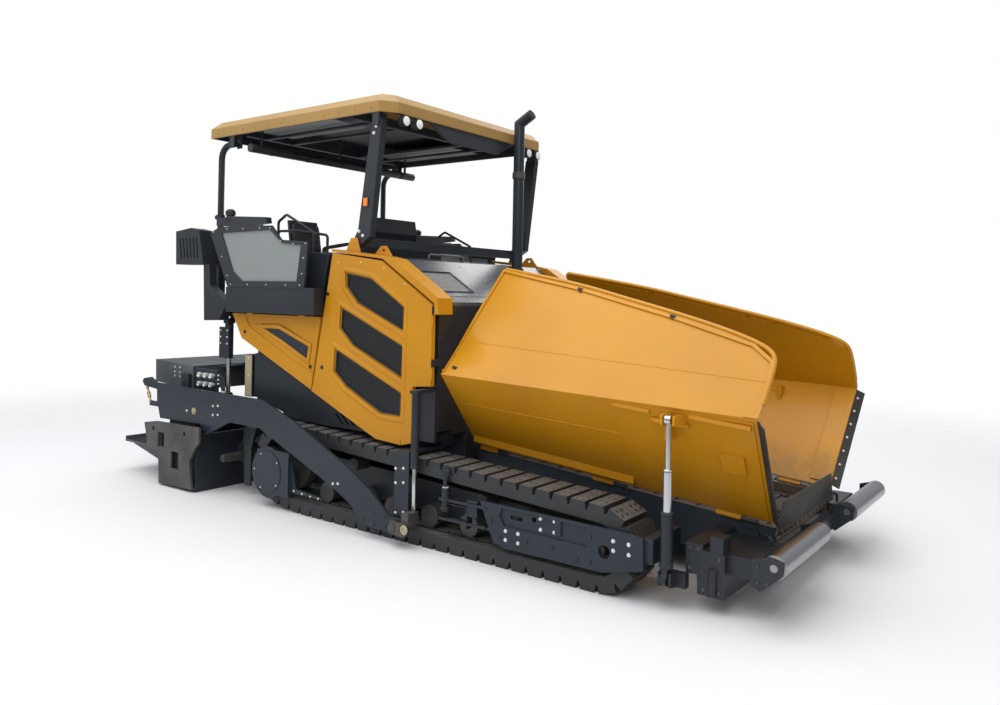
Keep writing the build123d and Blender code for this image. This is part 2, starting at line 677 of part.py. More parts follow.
# Walkway behind the screed, on brackets
with BuildPart() as walkway:
    block((-half_length, -2900), (-1500, 1500), (340, 360))
    block((-half_length, -half_length + 20), (-1500, 1500), (340, 400))
    for y in ((20, 40), (1440, 1460)):
        slabs([(-2900, 341), (-3700, 341), (-3700, 320), (-2900, 140)], y)
save(walkway.part, "screed_walkway")

# Cover over the screed's frame, open below, with a tread towards the machine
cover_outline = [(-3378, 1320), (-2640, 1289), (-2632, 1027), (-3369, 1068)]
cover_inner = [(-3364, 1307), (-2652, 1277), (-2652, 900), (-3364, 900)]
with BuildPart() as cover:
    slab(cover_outline, (-1400, 1400))
    slab(cover_inner, (-1388, 1388), mode=Mode.SUBTRACT)
    slab([(-2645, 1270), (-2250, 1330), (-2250, 1310), (-2645, 1250)], (-1050, 1050))
save(cover.part, "screed_cover")

# Augers: a helical flight on each shaft, handed so that both throw outwards
auger = (-2000, 370)
flight = (45, 205)
flight_y = (140, 1190)
flight_pitch = 350
with BuildPart() as screw:
    start = Vector(auger[0], -flight_y[1], auger[1])
    with BuildLine() as path:
        Helix(pitch=flight_pitch, height=flight_y[1] - flight_y[0], radius=(flight[0] + flight[1]) / 2,
              center=start, direction=(0, 1, 0))
    spoke = path.line @ 0 - start
    with BuildSketch(Plane(origin=path.line @ 0, x_dir=spoke, z_dir=path.line % 0)) as blade:
        Rectangle(flight[1] - flight[0] + 8, 14)
    sweep(blade.sketch, path=path.line, is_frenet=True)
    rod((auger[0], -1390, auger[1]), (auger[0], -130, auger[1]), flight[0])
    rod((auger[0], -1450, auger[1]), (auger[0], -1389, auger[1]), 40)
save_pair(screw, "auger")
with BuildPart() as hanger:
    block((-2090, -1800), (-110, 110), (270, 480))
    block((-1810, -1712), (-60, 60), (400, 900))
    block((-1720, body_rear), (-60, 60), (840, 900))
    slabs([(-1843, 700), (-1640, 702), (-1711, 496), (-1715, 101), (-1816, 96)], (1290, 1310))
    blocks((-1838, body_rear), (860, 1291), (640, 700))
    blocks((-1706, body_rear), (840, 861), (640, 700))
    slabs([(-2060, 310), (-1800, 310), (-1800, 660), (-1860, 660), (-2060, 440)], (1210, 1230))
    discs(auger[0], auger[1], 48, (1209, 1231), mode=Mode.SUBTRACT)
save(hanger.part, "auger_hangers")

# Canopy: a shallow shell with chamfered edges, folding back on four parallel links
canopy_y = 1307
front_pivot = (-245, 2590)
link = (245, 1115)
rear_pivot = (-2415, 2590)
front_top = (front_pivot[0] + link[0], front_pivot[1] + link[1])
rear_top = (rear_pivot[0] + link[0], rear_pivot[1] + link[1])
post_y = (1210, 1282)
ceiling = 3946
with BuildPart() as roof:
    with BuildSketch(Plane.XY.offset(3787)) as roof_plan:
        Polygon((-2529, -canopy_y), (50, -canopy_y), (150, -1150), (150, 1150), (50, canopy_y), (-2529, canopy_y),
                align=None)
    extrude(roof_plan.sketch, amount=181)
    chamfer(roof.edges().group_by(Axis.Z)[-1], length=78)
    offset(amount=-22, openings=roof.faces().sort_by(Axis.Z)[0], kind=Kind.INTERSECTION)
    for x in (-2140, -460):
        block((x, x + 45), (-1150, 1150), (3800, ceiling))
    for y in ((490, 530), (850, 890)):
        blocks((-2100, -450), y, (3802, 3830))
    cross([(-707, 3790), (-400, 3640), (400, 3640), (707, 3790)], (104, 126))
    block((104, 126), (-690, 690), (3780, 3830))
    block((104, 129), (-690, 690), (3795, 3830))
    rod((-1900, -1260, 3640), (-1900, 1260, 3640), 45)
    for y in (-1120, -10, 1100):
        block((-1912, -1888), (y, y + 20), (3640, ceiling))
    for x, z in (front_top, rear_top):
        for y in (post_y[0] - 22, post_y[1] + 2):
            blocks((x - 40, x + 40), (y, y + 14), (z - 40, 3890))
save(roof.part, "canopy_roof")

# Lamps under the front edge of the roof
with BuildPart() as lamps:
    for y in (906, 1085):
        for side in (-1, 1):
            rod((118, side * y, 3722), (190, side * y, 3722), 46)
            block((129, 149), (side * y - 12, side * y + 12), (3740, 3787))
save(lamps.part, "lamps")

# Front portal of the canopy, and the rear posts bent forward to the roof
with BuildPart() as front_frame:
    slabs([(-290, 2590), (-262, 2548), (-228, 2548), (-60, 2650), (64, 3700), (-66, 3700), (-215, 2720)], post_y)
    discs(*front_top, 55, post_y)
    discs(*front_pivot, 45, post_y)
    block((-290, -190), (-post_y[0], post_y[0]), (2562, 2650))
save(front_frame.part, "canopy_front_frame")
with BuildPart() as rear_post:
    for side in (-1, 1):
        middle = side * (post_y[0] + post_y[1]) / 2
        pipe([(rear_pivot[0], middle, rear_pivot[1]), (rear_pivot[0], middle, rear_top[1]),
              (rear_top[0], middle, rear_top[1])], 150, 34)
    discs(*rear_pivot, 42, (post_y[0], post_y[1]))
save(rear_post.part, "canopy_rear_posts")

# Exhaust with its outlet turned forward
with BuildPart() as exhaust:
    rod((stack[0], stack[1], 1935), (stack[0], stack[1], 4010), 58)
    rod((stack[0] - 18, stack[1], 3985), (stack[0] + 165, stack[1], 4088), 56)
    rod((stack[0], stack[1], 3420), (stack[0], stack[1], 3450), 66)
save(exhaust.part, "exhaust")

# Operator station: two seats with arm rests, and the console across the front
with BuildPart() as seats:
    blocks((-1480, -1080), (600, 900), (deck_z, 2300))
    slabs([(-1560, 2300), (-1040, 2300), (-1030, 2380), (-1070, 2420), (-1500, 2400), (-1560, 2900), (-1640, 2880),
           (-1625, 2400)], (540, 960))
    for y in ((496, 541), (959, 1004)):
        slabs([(-1540, 2480), (-1500, 2480), (-1470, 2600), (-1110, 2640), (-1110, 2681), (-1580, 2640)], y)
        slabs([(-1590, 2400), (-1500, 2400), (-1500, 2600), (-1570, 2600)], y)
save(seats.part, "seats")
with BuildPart() as console:
    block((-980, -902), (-560, 706), (deck_z, 2640))
    slab([(-1020, 2640), (-902, 2640), (-840, 2780), (-870, 2935), (-1000, 2760)], (-545, 209))
    slab([(-1020, 2640), (-902, 2640), (-860, 2700), (-880, 2790), (-1000, 2720)], (227, 706))
    block((-1000, -910), (-545, 706), (2600, 2645))
save(console.part, "console")

# Side shields: a frame round a frosted pane, over the strip box outside the deck
shield_y = (1450, 1480)
shield_outer = [(-2251, 2733), (-2096, 2790), (-1246, 2778), (-1095, 2634), (-683, 2603), (-732, 2164), (-1934, 2164)]
shield_window = [(-2055, 2727), (-1257, 2735), (-1072, 2600), (-788, 2570), (-840, 2225), (-1700, 2225), (-1852, 2330)]
with BuildPart() as shields:
    slabs(shield_outer, shield_y)
    slabs(shield_window, (shield_y[0] - 1, shield_y[1] + 1), mode=Mode.SUBTRACT)
    slabs([(-2162, 2883), (-1870, 2895), (-1340, 2865), (-1326, 2806), (-1693, 2782), (-2160, 2805)], (1400, 1470))
    blocks((-2100, -1400), (1451, 1470), (2740, 2790))
    blocks((-1972, -600), (1335, 1470), (1905, 2164))
    blocks((-1900, -950), (1285, 1336), (1905, 1930))
save(shields.part, "side_shields")
with BuildPart() as panes:
    slabs(shield_window, (1460, 1466))
save(panes.part, "shield_windows")

# Slotted control boxes behind the shields
with BuildPart() as boxes:
    slabs([(-2913, 2769), (-2631, 2800), (-2479, 2771), (-2385, 2398), (-2899, 2402)], (1300, 1470))
    for i in range(6):
        x = -2840 + 62 * i
        slabs([(x, 2690), (x + 22, 2690), (x + 52, 2470), (x + 30, 2470)], (1448, 1471), mode=Mode.SUBTRACT)
    slabs([(-2424, 2405), (-2395, 1800), (-2131, 1809), (-1990, 1998), (-2302, 2179), (-2320, 2405)], (1356, 1440))
    blocks((-2396, -2310), (1285, 1357), (1890, deck_z))
save(boxes.part, "rear_boxes")

# Handrails up to the station
with BuildPart() as rails:
    for side in (-1, 1):
        pipe([(-1434, side * 1236, deck_z), (-1434, side * 1236, 2840), (-1309, side * 1236, 2909),
              (-885, side * 1236, 2715), (-885, side * 1236, 2520)], 40, 14)
        pipe([(-1660, side * 1060, deck_z), (-1660, side * 1060, 2764), (-1340, side * 1060, 2758),
              (-885, side * 1060, 2700), (-885, side * 1060, 2520)], 40, 14)
save(rails.part, "handrails")
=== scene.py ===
import bpy
import json
import numpy as np
from mathutils import Matrix

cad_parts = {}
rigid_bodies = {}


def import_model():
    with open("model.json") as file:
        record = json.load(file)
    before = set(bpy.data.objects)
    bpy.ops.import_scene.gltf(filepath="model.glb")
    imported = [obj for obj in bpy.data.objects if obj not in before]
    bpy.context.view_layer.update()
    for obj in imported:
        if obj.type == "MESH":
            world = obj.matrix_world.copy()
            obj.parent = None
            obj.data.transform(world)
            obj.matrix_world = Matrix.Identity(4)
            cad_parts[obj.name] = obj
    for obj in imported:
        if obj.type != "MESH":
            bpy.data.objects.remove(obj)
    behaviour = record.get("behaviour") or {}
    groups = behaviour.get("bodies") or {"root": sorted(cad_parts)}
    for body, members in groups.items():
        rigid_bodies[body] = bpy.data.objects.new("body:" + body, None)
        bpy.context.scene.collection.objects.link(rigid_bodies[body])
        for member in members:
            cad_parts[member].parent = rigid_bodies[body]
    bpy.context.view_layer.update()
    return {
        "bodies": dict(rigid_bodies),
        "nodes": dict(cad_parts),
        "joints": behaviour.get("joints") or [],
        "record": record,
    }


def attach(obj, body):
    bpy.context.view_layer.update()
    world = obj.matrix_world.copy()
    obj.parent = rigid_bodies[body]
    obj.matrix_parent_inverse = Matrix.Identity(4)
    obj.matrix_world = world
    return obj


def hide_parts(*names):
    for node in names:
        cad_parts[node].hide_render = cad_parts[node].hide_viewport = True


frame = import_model()
scene = bpy.context.scene
nodes = frame["nodes"]
mm = 0.001
hands = ((-1, "right"), (1, "left"))
upward = (0, 0, 1)

# Camera, solved from the edges of the photo
camera = {"place": (5.417, -6.615, 2.134), "yaw": 36.654, "pitch": -0.285, "roll": 1.104, "lens": 29.498,
          "shift": -0.0617, "sensor": 36, "reach": 200}


def addCamera(c):
    # looks along (-sin yaw, cos yaw) tipped by pitch, then turned about that line by roll
    yaw, pitch, roll = (np.radians(c[k]) for k in ("yaw", "pitch", "roll"))
    ahead = np.array([-np.sin(yaw) * np.cos(pitch), np.cos(yaw) * np.cos(pitch), -np.sin(pitch)])
    level = np.array([np.cos(yaw), np.sin(yaw), 0.0])
    above = np.cross(level, ahead)
    right = np.cos(roll) * level + np.sin(roll) * above
    up = -np.sin(roll) * level + np.cos(roll) * above
    data = bpy.data.cameras.new("photoCamera")
    data.sensor_width = c["sensor"]
    data.lens = c["lens"]
    data.shift_y = c["shift"]
    data.clip_end = c["reach"]
    made = bpy.data.objects.new("photoCamera", data)
    turn = np.eye(4)
    turn[:3, 0], turn[:3, 1], turn[:3, 2], turn[:3, 3] = right, up, -ahead, c["place"]
    made.matrix_world = Matrix(turn.tolist())
    scene.collection.objects.link(made)
    scene.camera = made


addCamera(camera)
print("camera done")


class Wire:
    # a shader socket that can be used in sums and products
    def __init__(self, paint, socket):
        self.paint = paint
        self.socket = socket

    def __add__(self, other):
        return self.paint.math("ADD", self, other)

    def __radd__(self, other):
        return self.paint.math("ADD", other, self)

    def __sub__(self, other):
        return self.paint.math("SUBTRACT", self, other)

    def __rsub__(self, other):
        return self.paint.math("SUBTRACT", other, self)

    def __mul__(self, other):
        return self.paint.math("MULTIPLY", self, other)

    def __rmul__(self, other):
        return self.paint.math("MULTIPLY", other, self)

    def __truediv__(self, other):
        return self.paint.math("DIVIDE", self, other)

    def __neg__(self):
        return self.paint.math("MULTIPLY", self, -1.0)

    def ramp(self, low, high):
        # 0 below low, 1 above high, smooth between
        node = self.paint.node("MapRange", {"interpolation_type": "SMOOTHSTEP"}, Value=self)
        node.inputs["From Min"].default_value = low
        node.inputs["From Max"].default_value = high
        return Wire(self.paint, node.outputs[0])


class Paint:
    # a material with its shader, the place and the normal of the shaded point, and short ways to add nodes
    def __init__(self, name):
        self.material = bpy.data.materials.new(name)
        self.material.use_nodes = True
        self.tree = self.material.node_tree
        self.shader = self.tree.nodes["Principled BSDF"]
        self.place = Wire(self, self.node("TexCoord").outputs["Object"])
        split = self.node("SeparateXYZ", Vector=self.place)
        self.x, self.y, self.z = (Wire(self, s) for s in split.outputs)
        self.facing = self.node("NewGeometry").outputs["Normal"]
        split = self.node("SeparateXYZ", Vector=Wire(self, self.facing))
        self.nx, self.ny, self.nz = (Wire(self, s) for s in split.outputs)

    def feed(self, socket, value):
        if isinstance(value, Wire):
            self.tree.links.new(value.socket, socket)
        else:
            socket.default_value = value

    def node(self, kind, settings=None, **values):
        made = self.tree.nodes.new("ShaderNode" + kind)
        for key, value in (settings or {}).items():
            setattr(made, key, value)
        for key, value in values.items():
            self.feed(made.inputs[key.replace("_", " ")], value)
        return made

    def math(self, operation, *values):
        made = self.node("Math", {"operation": operation})
        for socket, value in zip(made.inputs, values):
            self.feed(socket, value)
        return Wire(self, made.outputs[0])

    def vector(self, operation, *values, output=0):
        made = self.node("VectorMath", {"operation": operation})
        for socket, value in zip(made.inputs, values):
            self.feed(socket, value)
        return Wire(self, made.outputs[output])

    def mix(self, share, a, b):
        made = self.node("Mix", {"data_type": "RGBA"})
        for index, value in ((0, share), (6, a), (7, b)):
            self.feed(made.inputs[index], value)
        return Wire(self, made.outputs[2])

    def noise(self, scale, detail=3.0, stretch=None):
        where = self.place if stretch is None else self.vector("MULTIPLY", self.place, stretch)
        return Wire(self, self.node("TexNoise", Vector=where, Scale=scale, Detail=detail).outputs[0])

    def finish(self, height=None, distance=0.001, bevel=0.0):
        edge = None
        if bevel:
            edge = Wire(self, self.node("Bevel", {"samples": 4}, Radius=bevel).outputs[0])
        if height is not None:
            bump = self.node("Bump", Height=height, Distance=distance)
            if edge:
                self.feed(bump.inputs["Normal"], edge)
            edge = Wire(self, bump.outputs[0])
        if edge:
            self.feed(self.shader.inputs["Normal"], edge)
        return self.material


def rgb(*c):
    return (*c, 1.0)


dustTone = (0.36, 0.31, 0.24)
grimeTone = (0.09, 0.075, 0.06)
chipTone = (0.12, 0.10, 0.09)
rustTone = (0.16, 0.07, 0.025)


def painted(name, s):
    # colour = paint, darkened by broad noise, greyed by dust that gathers low down and on faces that look up,
    # chipped where a fine noise passes a limit on the rounded edges
    p = Paint(name)
    broad = p.noise(0.9, 4)
    streak = p.noise(2.2, 5, (3.0, 3.0, 0.45))
    fine = p.noise(38, 6)
    low = 1.0 - p.z.ramp(s["low"][0], s["low"][1])
    up = p.nz.ramp(0.35, 0.95)
    dust = (low * 0.55 + up * 0.4 + 0.12) * (fine * 0.7 + streak * 0.9) * s["dust"]
    edge = Wire(p, p.node("Bevel", {"samples": 4}, Radius=0.009).outputs[0])
    bend = 1.0 - p.vector("DOT_PRODUCT", edge, Wire(p, p.facing), output=1)
    chip = (bend * 9.0 + fine * 0.9).ramp(1.0, 1.25) * s["chip"]
    tone = p.mix(broad.ramp(0.3, 0.7), rgb(*s["base"]), rgb(*s["shade"]))
    tone = p.mix(dust.ramp(0.05, 0.9) * s["cover"], tone, rgb(*s.get("tint", dustTone)))
    tone = p.mix(streak.ramp(0.58, 0.8) * s["streak"], tone, rgb(*grimeTone))
    tone = p.mix(chip, tone, rgb(*s.get("bare", chipTone)))
    p.feed(p.shader.inputs["Base Color"], tone)
    p.feed(p.shader.inputs["Roughness"], s["rough"] + dust * 0.35 + (fine - 0.5) * 0.12)
    p.feed(p.shader.inputs["Coat Weight"], s["coat"] * (1.0 - dust.ramp(0.0, 0.6)))
    p.shader.inputs["Coat Roughness"].default_value = 0.18
    p.shader.inputs["Specular IOR Level"].default_value = s["shine"]
    return p.finish(fine * 0.5 + p.noise(160, 2) * 0.25, s["bump"], bevel=0.006)


def bare(name, s):
    # colour goes from bright metal to rust and grime by two noises, more metal on the upper faces
    p = Paint(name)
    broad = p.noise(s["scale"], 6)
    fine = p.noise(70, 5)
    scratch = p.noise(9, 3, (1.0, 1.0, 12.0))
    worn = (broad * 0.6 + fine * 0.4 + p.nz * 0.06).ramp(0.36, 0.68)
    tone = p.mix(worn, rgb(*s["dark"]), rgb(*s["light"]))
    rust = (fine * 0.6 + p.noise(3.1, 5) * 0.5).ramp(0.56, 0.78) * s["rust"]
    tone = p.mix(rust, tone, rgb(*rustTone))
    p.feed(p.shader.inputs["Base Color"], tone)
    p.feed(p.shader.inputs["Metallic"], worn * s["metal"])
    p.feed(p.shader.inputs["Roughness"], s["rough"] + (fine - 0.5) * 0.3 + (scratch - 0.5) * 0.15)
    return p.finish(fine * 0.6 + broad * 0.6 + scratch * 0.2, s["bump"], bevel=0.005)


def plain(name, s):
    # one colour, varied a little by noise, with grain in the bump
    p = Paint(name)
    fine = p.noise(s.get("scale", 60), 4)
    low = 1.0 - p.z.ramp(0.0, 1.6)
    dust = (fine * 0.5 + p.noise(3, 3) * 0.5 + low * 0.3).ramp(0.35, 0.9) * s.get("dusty", 0.4)
    tone = p.mix(dust, rgb(*s["base"]), rgb(*s.get("other", dustTone)))
    p.feed(p.shader.inputs["Base Color"], tone)
    p.feed(p.shader.inputs["Roughness"], s["rough"] + (fine - 0.5) * 0.15)
    p.shader.inputs["Metallic"].default_value = s.get("metal", 0.0)
    return p.finish(fine, s.get("bump", 0.0004))


def wingPaint(name, s):
    # painted on both sides; inside the hopper a brown film grows below a wavy line near the floor
    p = Paint(name)
    fine = p.noise(38, 6)
    broad = p.noise(1.1, 5)
    streak = p.noise(2.6, 5, (3.0, 3.0, 0.35))
    inside = (-(p.math("SIGN", p.y) * p.ny)).ramp(0.0, 0.1)
    height = p.z + s["fall"] * p.x + (broad - 0.5) * s["wave"]
    film = inside * (1.0 - height.ramp(*s["film"])) * (streak * 0.6 + fine * 0.7)
    tone = p.mix(broad.ramp(0.3, 0.7), rgb(*s["base"]), rgb(*s["shade"]))
    tone = p.mix((fine * 0.5 + streak * 0.6).ramp(0.5, 0.9) * 0.14, tone, rgb(*s["dusty"]))
    tone = p.mix(film.ramp(0.2, 0.8) * 0.55, tone, rgb(*s["brown"]))
    p.feed(p.shader.inputs["Base Color"], tone)
    p.feed(p.shader.inputs["Roughness"], 0.36 + (fine - 0.5) * 0.1 + film * 0.25)
    p.feed(p.shader.inputs["Coat Weight"], 0.14 - film * 0.14)
    p.shader.inputs["Coat Roughness"].default_value = 0.12
    p.shader.inputs["Specular IOR Level"].default_value = 0.3
    return p.finish(fine * 0.5 + p.noise(2.2, 2) * 2.0, 0.0008, bevel=0.006)


def roofPaint(name, s):
    # gold where a face looks away from the roof's middle and belongs to the skin, dark grey inside and below
    p = Paint(name)
    fine = p.noise(38, 6)
    broad = p.noise(0.9, 4)
    (midX, midZ), (halfX, halfY, halfZ) = s["middle"], s["half"]
    away = (p.x - midX) / halfX * p.nx + p.y / halfY * p.ny + (p.z - midZ) / halfZ * p.nz
    sideY, topZ, frontX = s["lining"]
    between = 1.0 - p.math("ABSOLUTE", p.y).ramp(sideY, sideY + 0.01)
    inner = between * (1.0 - p.z.ramp(topZ, topZ + 0.01)) * (1.0 - p.x.ramp(frontX, frontX + 0.01))
    skin = away.ramp(0.15, 0.25) * (1.0 - inner) * p.z.ramp(s["edge"], s["edge"] + mm)
    tone = p.mix(broad.ramp(0.3, 0.7), rgb(*s["base"]), rgb(*s["shade"]))
    tone = p.mix(p.nz.ramp(0.4, 0.9) * fine * 0.5, tone, rgb(*s["dusty"]))
    tone = p.mix(skin, rgb(*s["inside"]), tone)
    p.feed(p.shader.inputs["Base Color"], tone)
    p.feed(p.shader.inputs["Roughness"], 0.42 + (fine - 0.5) * 0.15)
    return p.finish(fine * 0.5 + broad, 0.0008, bevel=0.02)


def hopperPaint(name, s):
    # the faces that look away from the middle are painted, the rest is steel worn by the mix
    p = Paint(name)
    fine = p.noise(60, 5)
    broad = p.noise(1.6, 6)
    outside = (p.math("SIGN", p.y) * p.ny).ramp(0.2, 0.6)
    worn = (broad * 0.7 + fine * 0.4).ramp(0.4, 0.72)
    tone = p.mix(outside, p.mix(worn, rgb(*s["dark"]), rgb(*s["light"])), rgb(*s["outside"]))
    p.feed(p.shader.inputs["Base Color"], tone)
    p.feed(p.shader.inputs["Metallic"], worn * 0.35 * (1.0 - outside))
    p.feed(p.shader.inputs["Roughness"], 0.45 + (fine - 0.5) * 0.25)
    return p.finish(fine + broad * 0.5, 0.001, bevel=0.005)


def padPaint(name, s):
    # the treads that look up are dusty and scuffed and lighter as a painted highlight from above; the slopes
    # between the shoes and their sides stay dark as painted shade
    p = Paint(name)
    fine = p.noise(55, 6)
    scuff = p.noise(7, 5, (1.0, 3.0, 1.0))
    # dusty scuffs with a painted highlight on the faces that look up; the rest keeps the painted shade tone
    top = p.nz.ramp(0.35, 0.85) * (fine * 0.5 + scuff * 0.9).ramp(0.25, 0.85)
    p.feed(p.shader.inputs["Base Color"], p.mix(top, rgb(*s["side"]), rgb(*s["top"])))
    p.feed(p.shader.inputs["Roughness"], 0.55 + top * 0.15 + (fine - 0.5) * 0.2)
    return p.finish(fine + scuff, 0.002, bevel=0.008)


def punched(name, s):
    # a sheet with round holes in staggered rows: clear where the distance to the nearest centre is small
    p = Paint(name)
    pitch = s["pitch"]
    along, above = p.x / pitch, p.z / pitch
    shift = p.math("FLOORED_MODULO", p.math("FLOOR", above), 2.0) * 0.5
    u = p.math("FRACT", along + shift) - 0.5
    v = p.math("FRACT", above) - 0.5
    far = p.math("SQRT", u * u + v * v)
    solid = far.ramp(0.34, 0.38)
    fine = p.noise(30, 4)
    tone = p.mix(fine.ramp(0.4, 0.9) * 0.5, rgb(*s["base"]), rgb(*s["dusty"]))
    p.feed(p.shader.inputs["Base Color"], tone)
    p.feed(p.shader.inputs["Alpha"], solid)
    p.feed(p.shader.inputs["Roughness"], 0.5 + fine * 0.2)
    return p.finish(far, 0.002)


def treadPlate(name, s):
    # raised bars in alternating directions: the bump is high where a product of two waves passes a limit
    p = Paint(name)
    turn = p.math("SIGN", p.math("SINE", (p.x + p.y) * s["wave"]) * p.math("SINE", (p.x - p.y) * s["wave"]))
    line = p.math("SINE", (p.x + turn * p.y) * s["wave"] * 2.0)
    bars = line.ramp(0.7, 0.9) * p.nz.ramp(0.6, 0.9)
    fine = p.noise(50, 5)
    broad = p.noise(1.7, 5)
    tone = p.mix(broad.ramp(0.35, 0.65), rgb(*s["dark"]), rgb(*s["light"]))
    tone = p.mix((fine + bars * 0.15).ramp(0.55, 0.8) * 0.5, tone, rgb(*s["dusty"]))
    p.feed(p.shader.inputs["Base Color"], tone)
    p.feed(p.shader.inputs["Roughness"], 0.62 - bars * 0.15 + (fine - 0.5) * 0.2)
    return p.finish(bars + fine * 0.15, 0.002, bevel=0.005)


def glowing(name, colour, strength):
    # one colour, which also shines a little
    p = Paint(name)
    p.feed(p.shader.inputs["Base Color"], rgb(*colour))
    p.feed(p.shader.inputs["Emission Color"], rgb(*colour))
    p.shader.inputs["Emission Strength"].default_value = strength
    p.shader.inputs["Roughness"].default_value = 0.15
    return p.material


paintBase = {"low": (0.0, 1.3), "dust": 0.35, "cover": 0.2, "streak": 0.06, "chip": 0.25, "rough": 0.34,
             "coat": 0.08, "bump": 0.0006, "shine": 0.3}
amber = {"base": (0.60, 0.262, 0.006), "shade": (0.54, 0.230, 0.005)}
slate = {"base": (0.024, 0.029, 0.035), "shade": (0.019, 0.023, 0.029)}
navy = {"base": (0.022, 0.031, 0.042), "shade": (0.017, 0.025, 0.035)}
looks = {
    "amber": painted("amberPaint", {**paintBase, **amber, "tint": (0.44, 0.25, 0.06)}),
    "wing": wingPaint("wingPaint", {
        **amber, "fall": 0.088, "wave": 0.35, "film": (0.95, 1.35), "dusty": (0.50, 0.31, 0.12),
        "brown": (0.20, 0.13, 0.06)}),
    "gold": roofPaint("goldPaint", {
        "base": (0.42, 0.245, 0.065), "shade": (0.37, 0.215, 0.055), "inside": (0.024, 0.028, 0.032),
        "dusty": (0.46, 0.35, 0.18), "middle": (-1.19, 3.74), "half": (1.34, 1.307, 0.12),
        "lining": (1.20, 3.88, 0.0), "edge": 3.785}),
    "dark": painted("darkPaint", {
        **paintBase, **slate, "tint": (0.075, 0.077, 0.078), "bare": (0.12, 0.11, 0.10)}),
    "guard": painted("guardPaint", {
        **paintBase, **navy, "tint": (0.085, 0.085, 0.085), "bare": (0.12, 0.11, 0.10), "cover": 0.3}),
    "lid": painted("lidPaint", {
        **paintBase, "base": (0.085, 0.092, 0.098), "shade": (0.070, 0.077, 0.083),
        "tint": (0.14, 0.14, 0.135), "rough": 0.24, "coat": 0.4, "dust": 0.12, "chip": 0.1, "bump": 0.0001,
        "shine": 0.6}),
    "steel": bare("wornSteel", {
        "scale": 2.4, "dark": (0.030, 0.030, 0.030), "light": (0.115, 0.108, 0.100), "rust": 0.07,
        "metal": 0.3, "rough": 0.48, "bump": 0.0008}),
    "floorSteel": hopperPaint("hopperFloor", {
        "outside": navy["base"], "dark": (0.060, 0.048, 0.034), "light": (0.17, 0.14, 0.105)}),
    # the pads' side tone is painted shade; their top tone is dust with a painted highlight
    "pads": padPaint("trackPads", {"side": (0.022, 0.024, 0.026), "top": (0.125, 0.122, 0.112)}),
    "bright": plain("polishedRod", {
        "base": (0.55, 0.56, 0.57), "rough": 0.22, "metal": 1.0, "dusty": 0.05, "bump": 0.00003}),
    "roller": plain("rollerSteel", {
        "base": (0.33, 0.335, 0.34), "other": (0.25, 0.25, 0.25), "rough": 0.3, "metal": 1.0, "dusty": 0.3,
        "scale": 12, "bump": 0.00005}),
    "grey": plain("frostedPane", {"base": (0.24, 0.262, 0.262), "rough": 0.3, "dusty": 0.1}),
    "plastic": plain("blackPlastic", {"base": (0.012, 0.013, 0.014), "rough": 0.5, "dusty": 0.1}),
    "rubber": plain("blackRubber", {
        "base": (0.014, 0.014, 0.014), "rough": 0.75, "dusty": 0.15, "bump": 0.001}),
    "brass": plain("brassYellow", {
        "base": (0.62, 0.46, 0.18), "rough": 0.3, "metal": 0.9, "dusty": 0.2, "other": (0.3, 0.2, 0.1)}),
    "tan": plain("tanCasting", {"base": (0.42, 0.34, 0.21), "rough": 0.5, "dusty": 0.3}),
    "zinc": plain("zincBolts", {"base": (0.78, 0.77, 0.74), "rough": 0.35, "metal": 0.5, "dusty": 0.1}),
    "orange": glowing("orangeLens", (0.90, 0.20, 0.015), 0.1),
    "lens": glowing("clearLens", (0.80, 0.82, 0.80), 0.1),
    "mesh": punched("punchedSheet", {
        "pitch": 0.014, "base": (0.012, 0.014, 0.018), "dusty": (0.045, 0.043, 0.040)}),
    "tread": treadPlate("treadPlate", {
        "wave": 55.0, "dark": (0.050, 0.058, 0.066), "light": (0.095, 0.105, 0.115),
        "dusty": (0.36, 0.33, 0.29)}),
    "seat": plain("seatCover", {
        "base": (0.016, 0.017, 0.019), "rough": 0.62, "dusty": 0.1, "bump": 0.0008, "scale": 140}),
}
# the record's slot for looks that it doesn't name, and the looks of whole nodes
nodeLooks = {"hood": "lid", "hood_lid": "lid", "lifting_lugs": "amber", "hopper_wing_right": "wing",
             "wing_edge_right": "wing", "wing_edge_left": "wing", "hopper_wing_left": "wing",
             "track_guards_front": "guard", "track_guards_rear": "guard",
             "tow_arms": "guard", "tow_guides": "guard", "door_mesh_right": "mesh", "door_mesh_left": "mesh",
             "push_roller_right": "roller", "push_roller_left": "roller", "hopper_floor": "floorSteel",
             "screed_cover": "tread", "screed_walkway": "tread", "seats": "seat"}
for part in frame["record"]["subparts"]:
    slots = nodes[part["node"]].data.materials
    look = looks[nodeLooks.get(part["node"], part["material_slot"])]
    for i in range(len(slots)):
        slots[i] = look
    if not slots:
        slots.append(look)
print("materials done")


def spread(x, y, z):
    # points from three coordinates, each of them one number or an array of numbers
    return np.stack(np.broadcast_arrays(x, y, z), -1).astype(float)


def addMesh(name, points, faces, look, body, smooth=30):
    # every piece is built in place, rides on a body and takes one of the looks
    data = bpy.data.meshes.new(name)
    data.from_pydata(np.asarray(points).reshape(-1, 3).tolist(), [], faces)
    data.materials.append(looks[look])
    data.shade_smooth()
    data.set_sharp_from_angle(angle=np.radians(smooth))
    made = bpy.data.objects.new(name, data)
    scene.collection.objects.link(made)
    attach(made, body)
    return made


def ringFaces(copies, rings, sides, loop=False):
    # quads between ring i and the next, then one flat face at each end of every copy, or none where the rings
    # form a loop
    steps = rings if loop else rings - 1
    c, i, j = np.meshgrid(np.arange(copies), np.arange(steps), np.arange(sides), indexing="ij")
    near = (c * rings + i) * sides
    far = (c * rings + (i + 1) % rings) * sides
    after = (j + 1) % sides
    quads = np.stack([near + j, near + after, far + after, far + j], -1).reshape(-1, 4).tolist()
    if loop:
        return quads
    base = np.arange(copies)[:, None] * rings * sides
    first = base + np.arange(sides)[::-1]
    last = base + (rings - 1) * sides + np.arange(sides)
    return quads + first.tolist() + last.tolist()


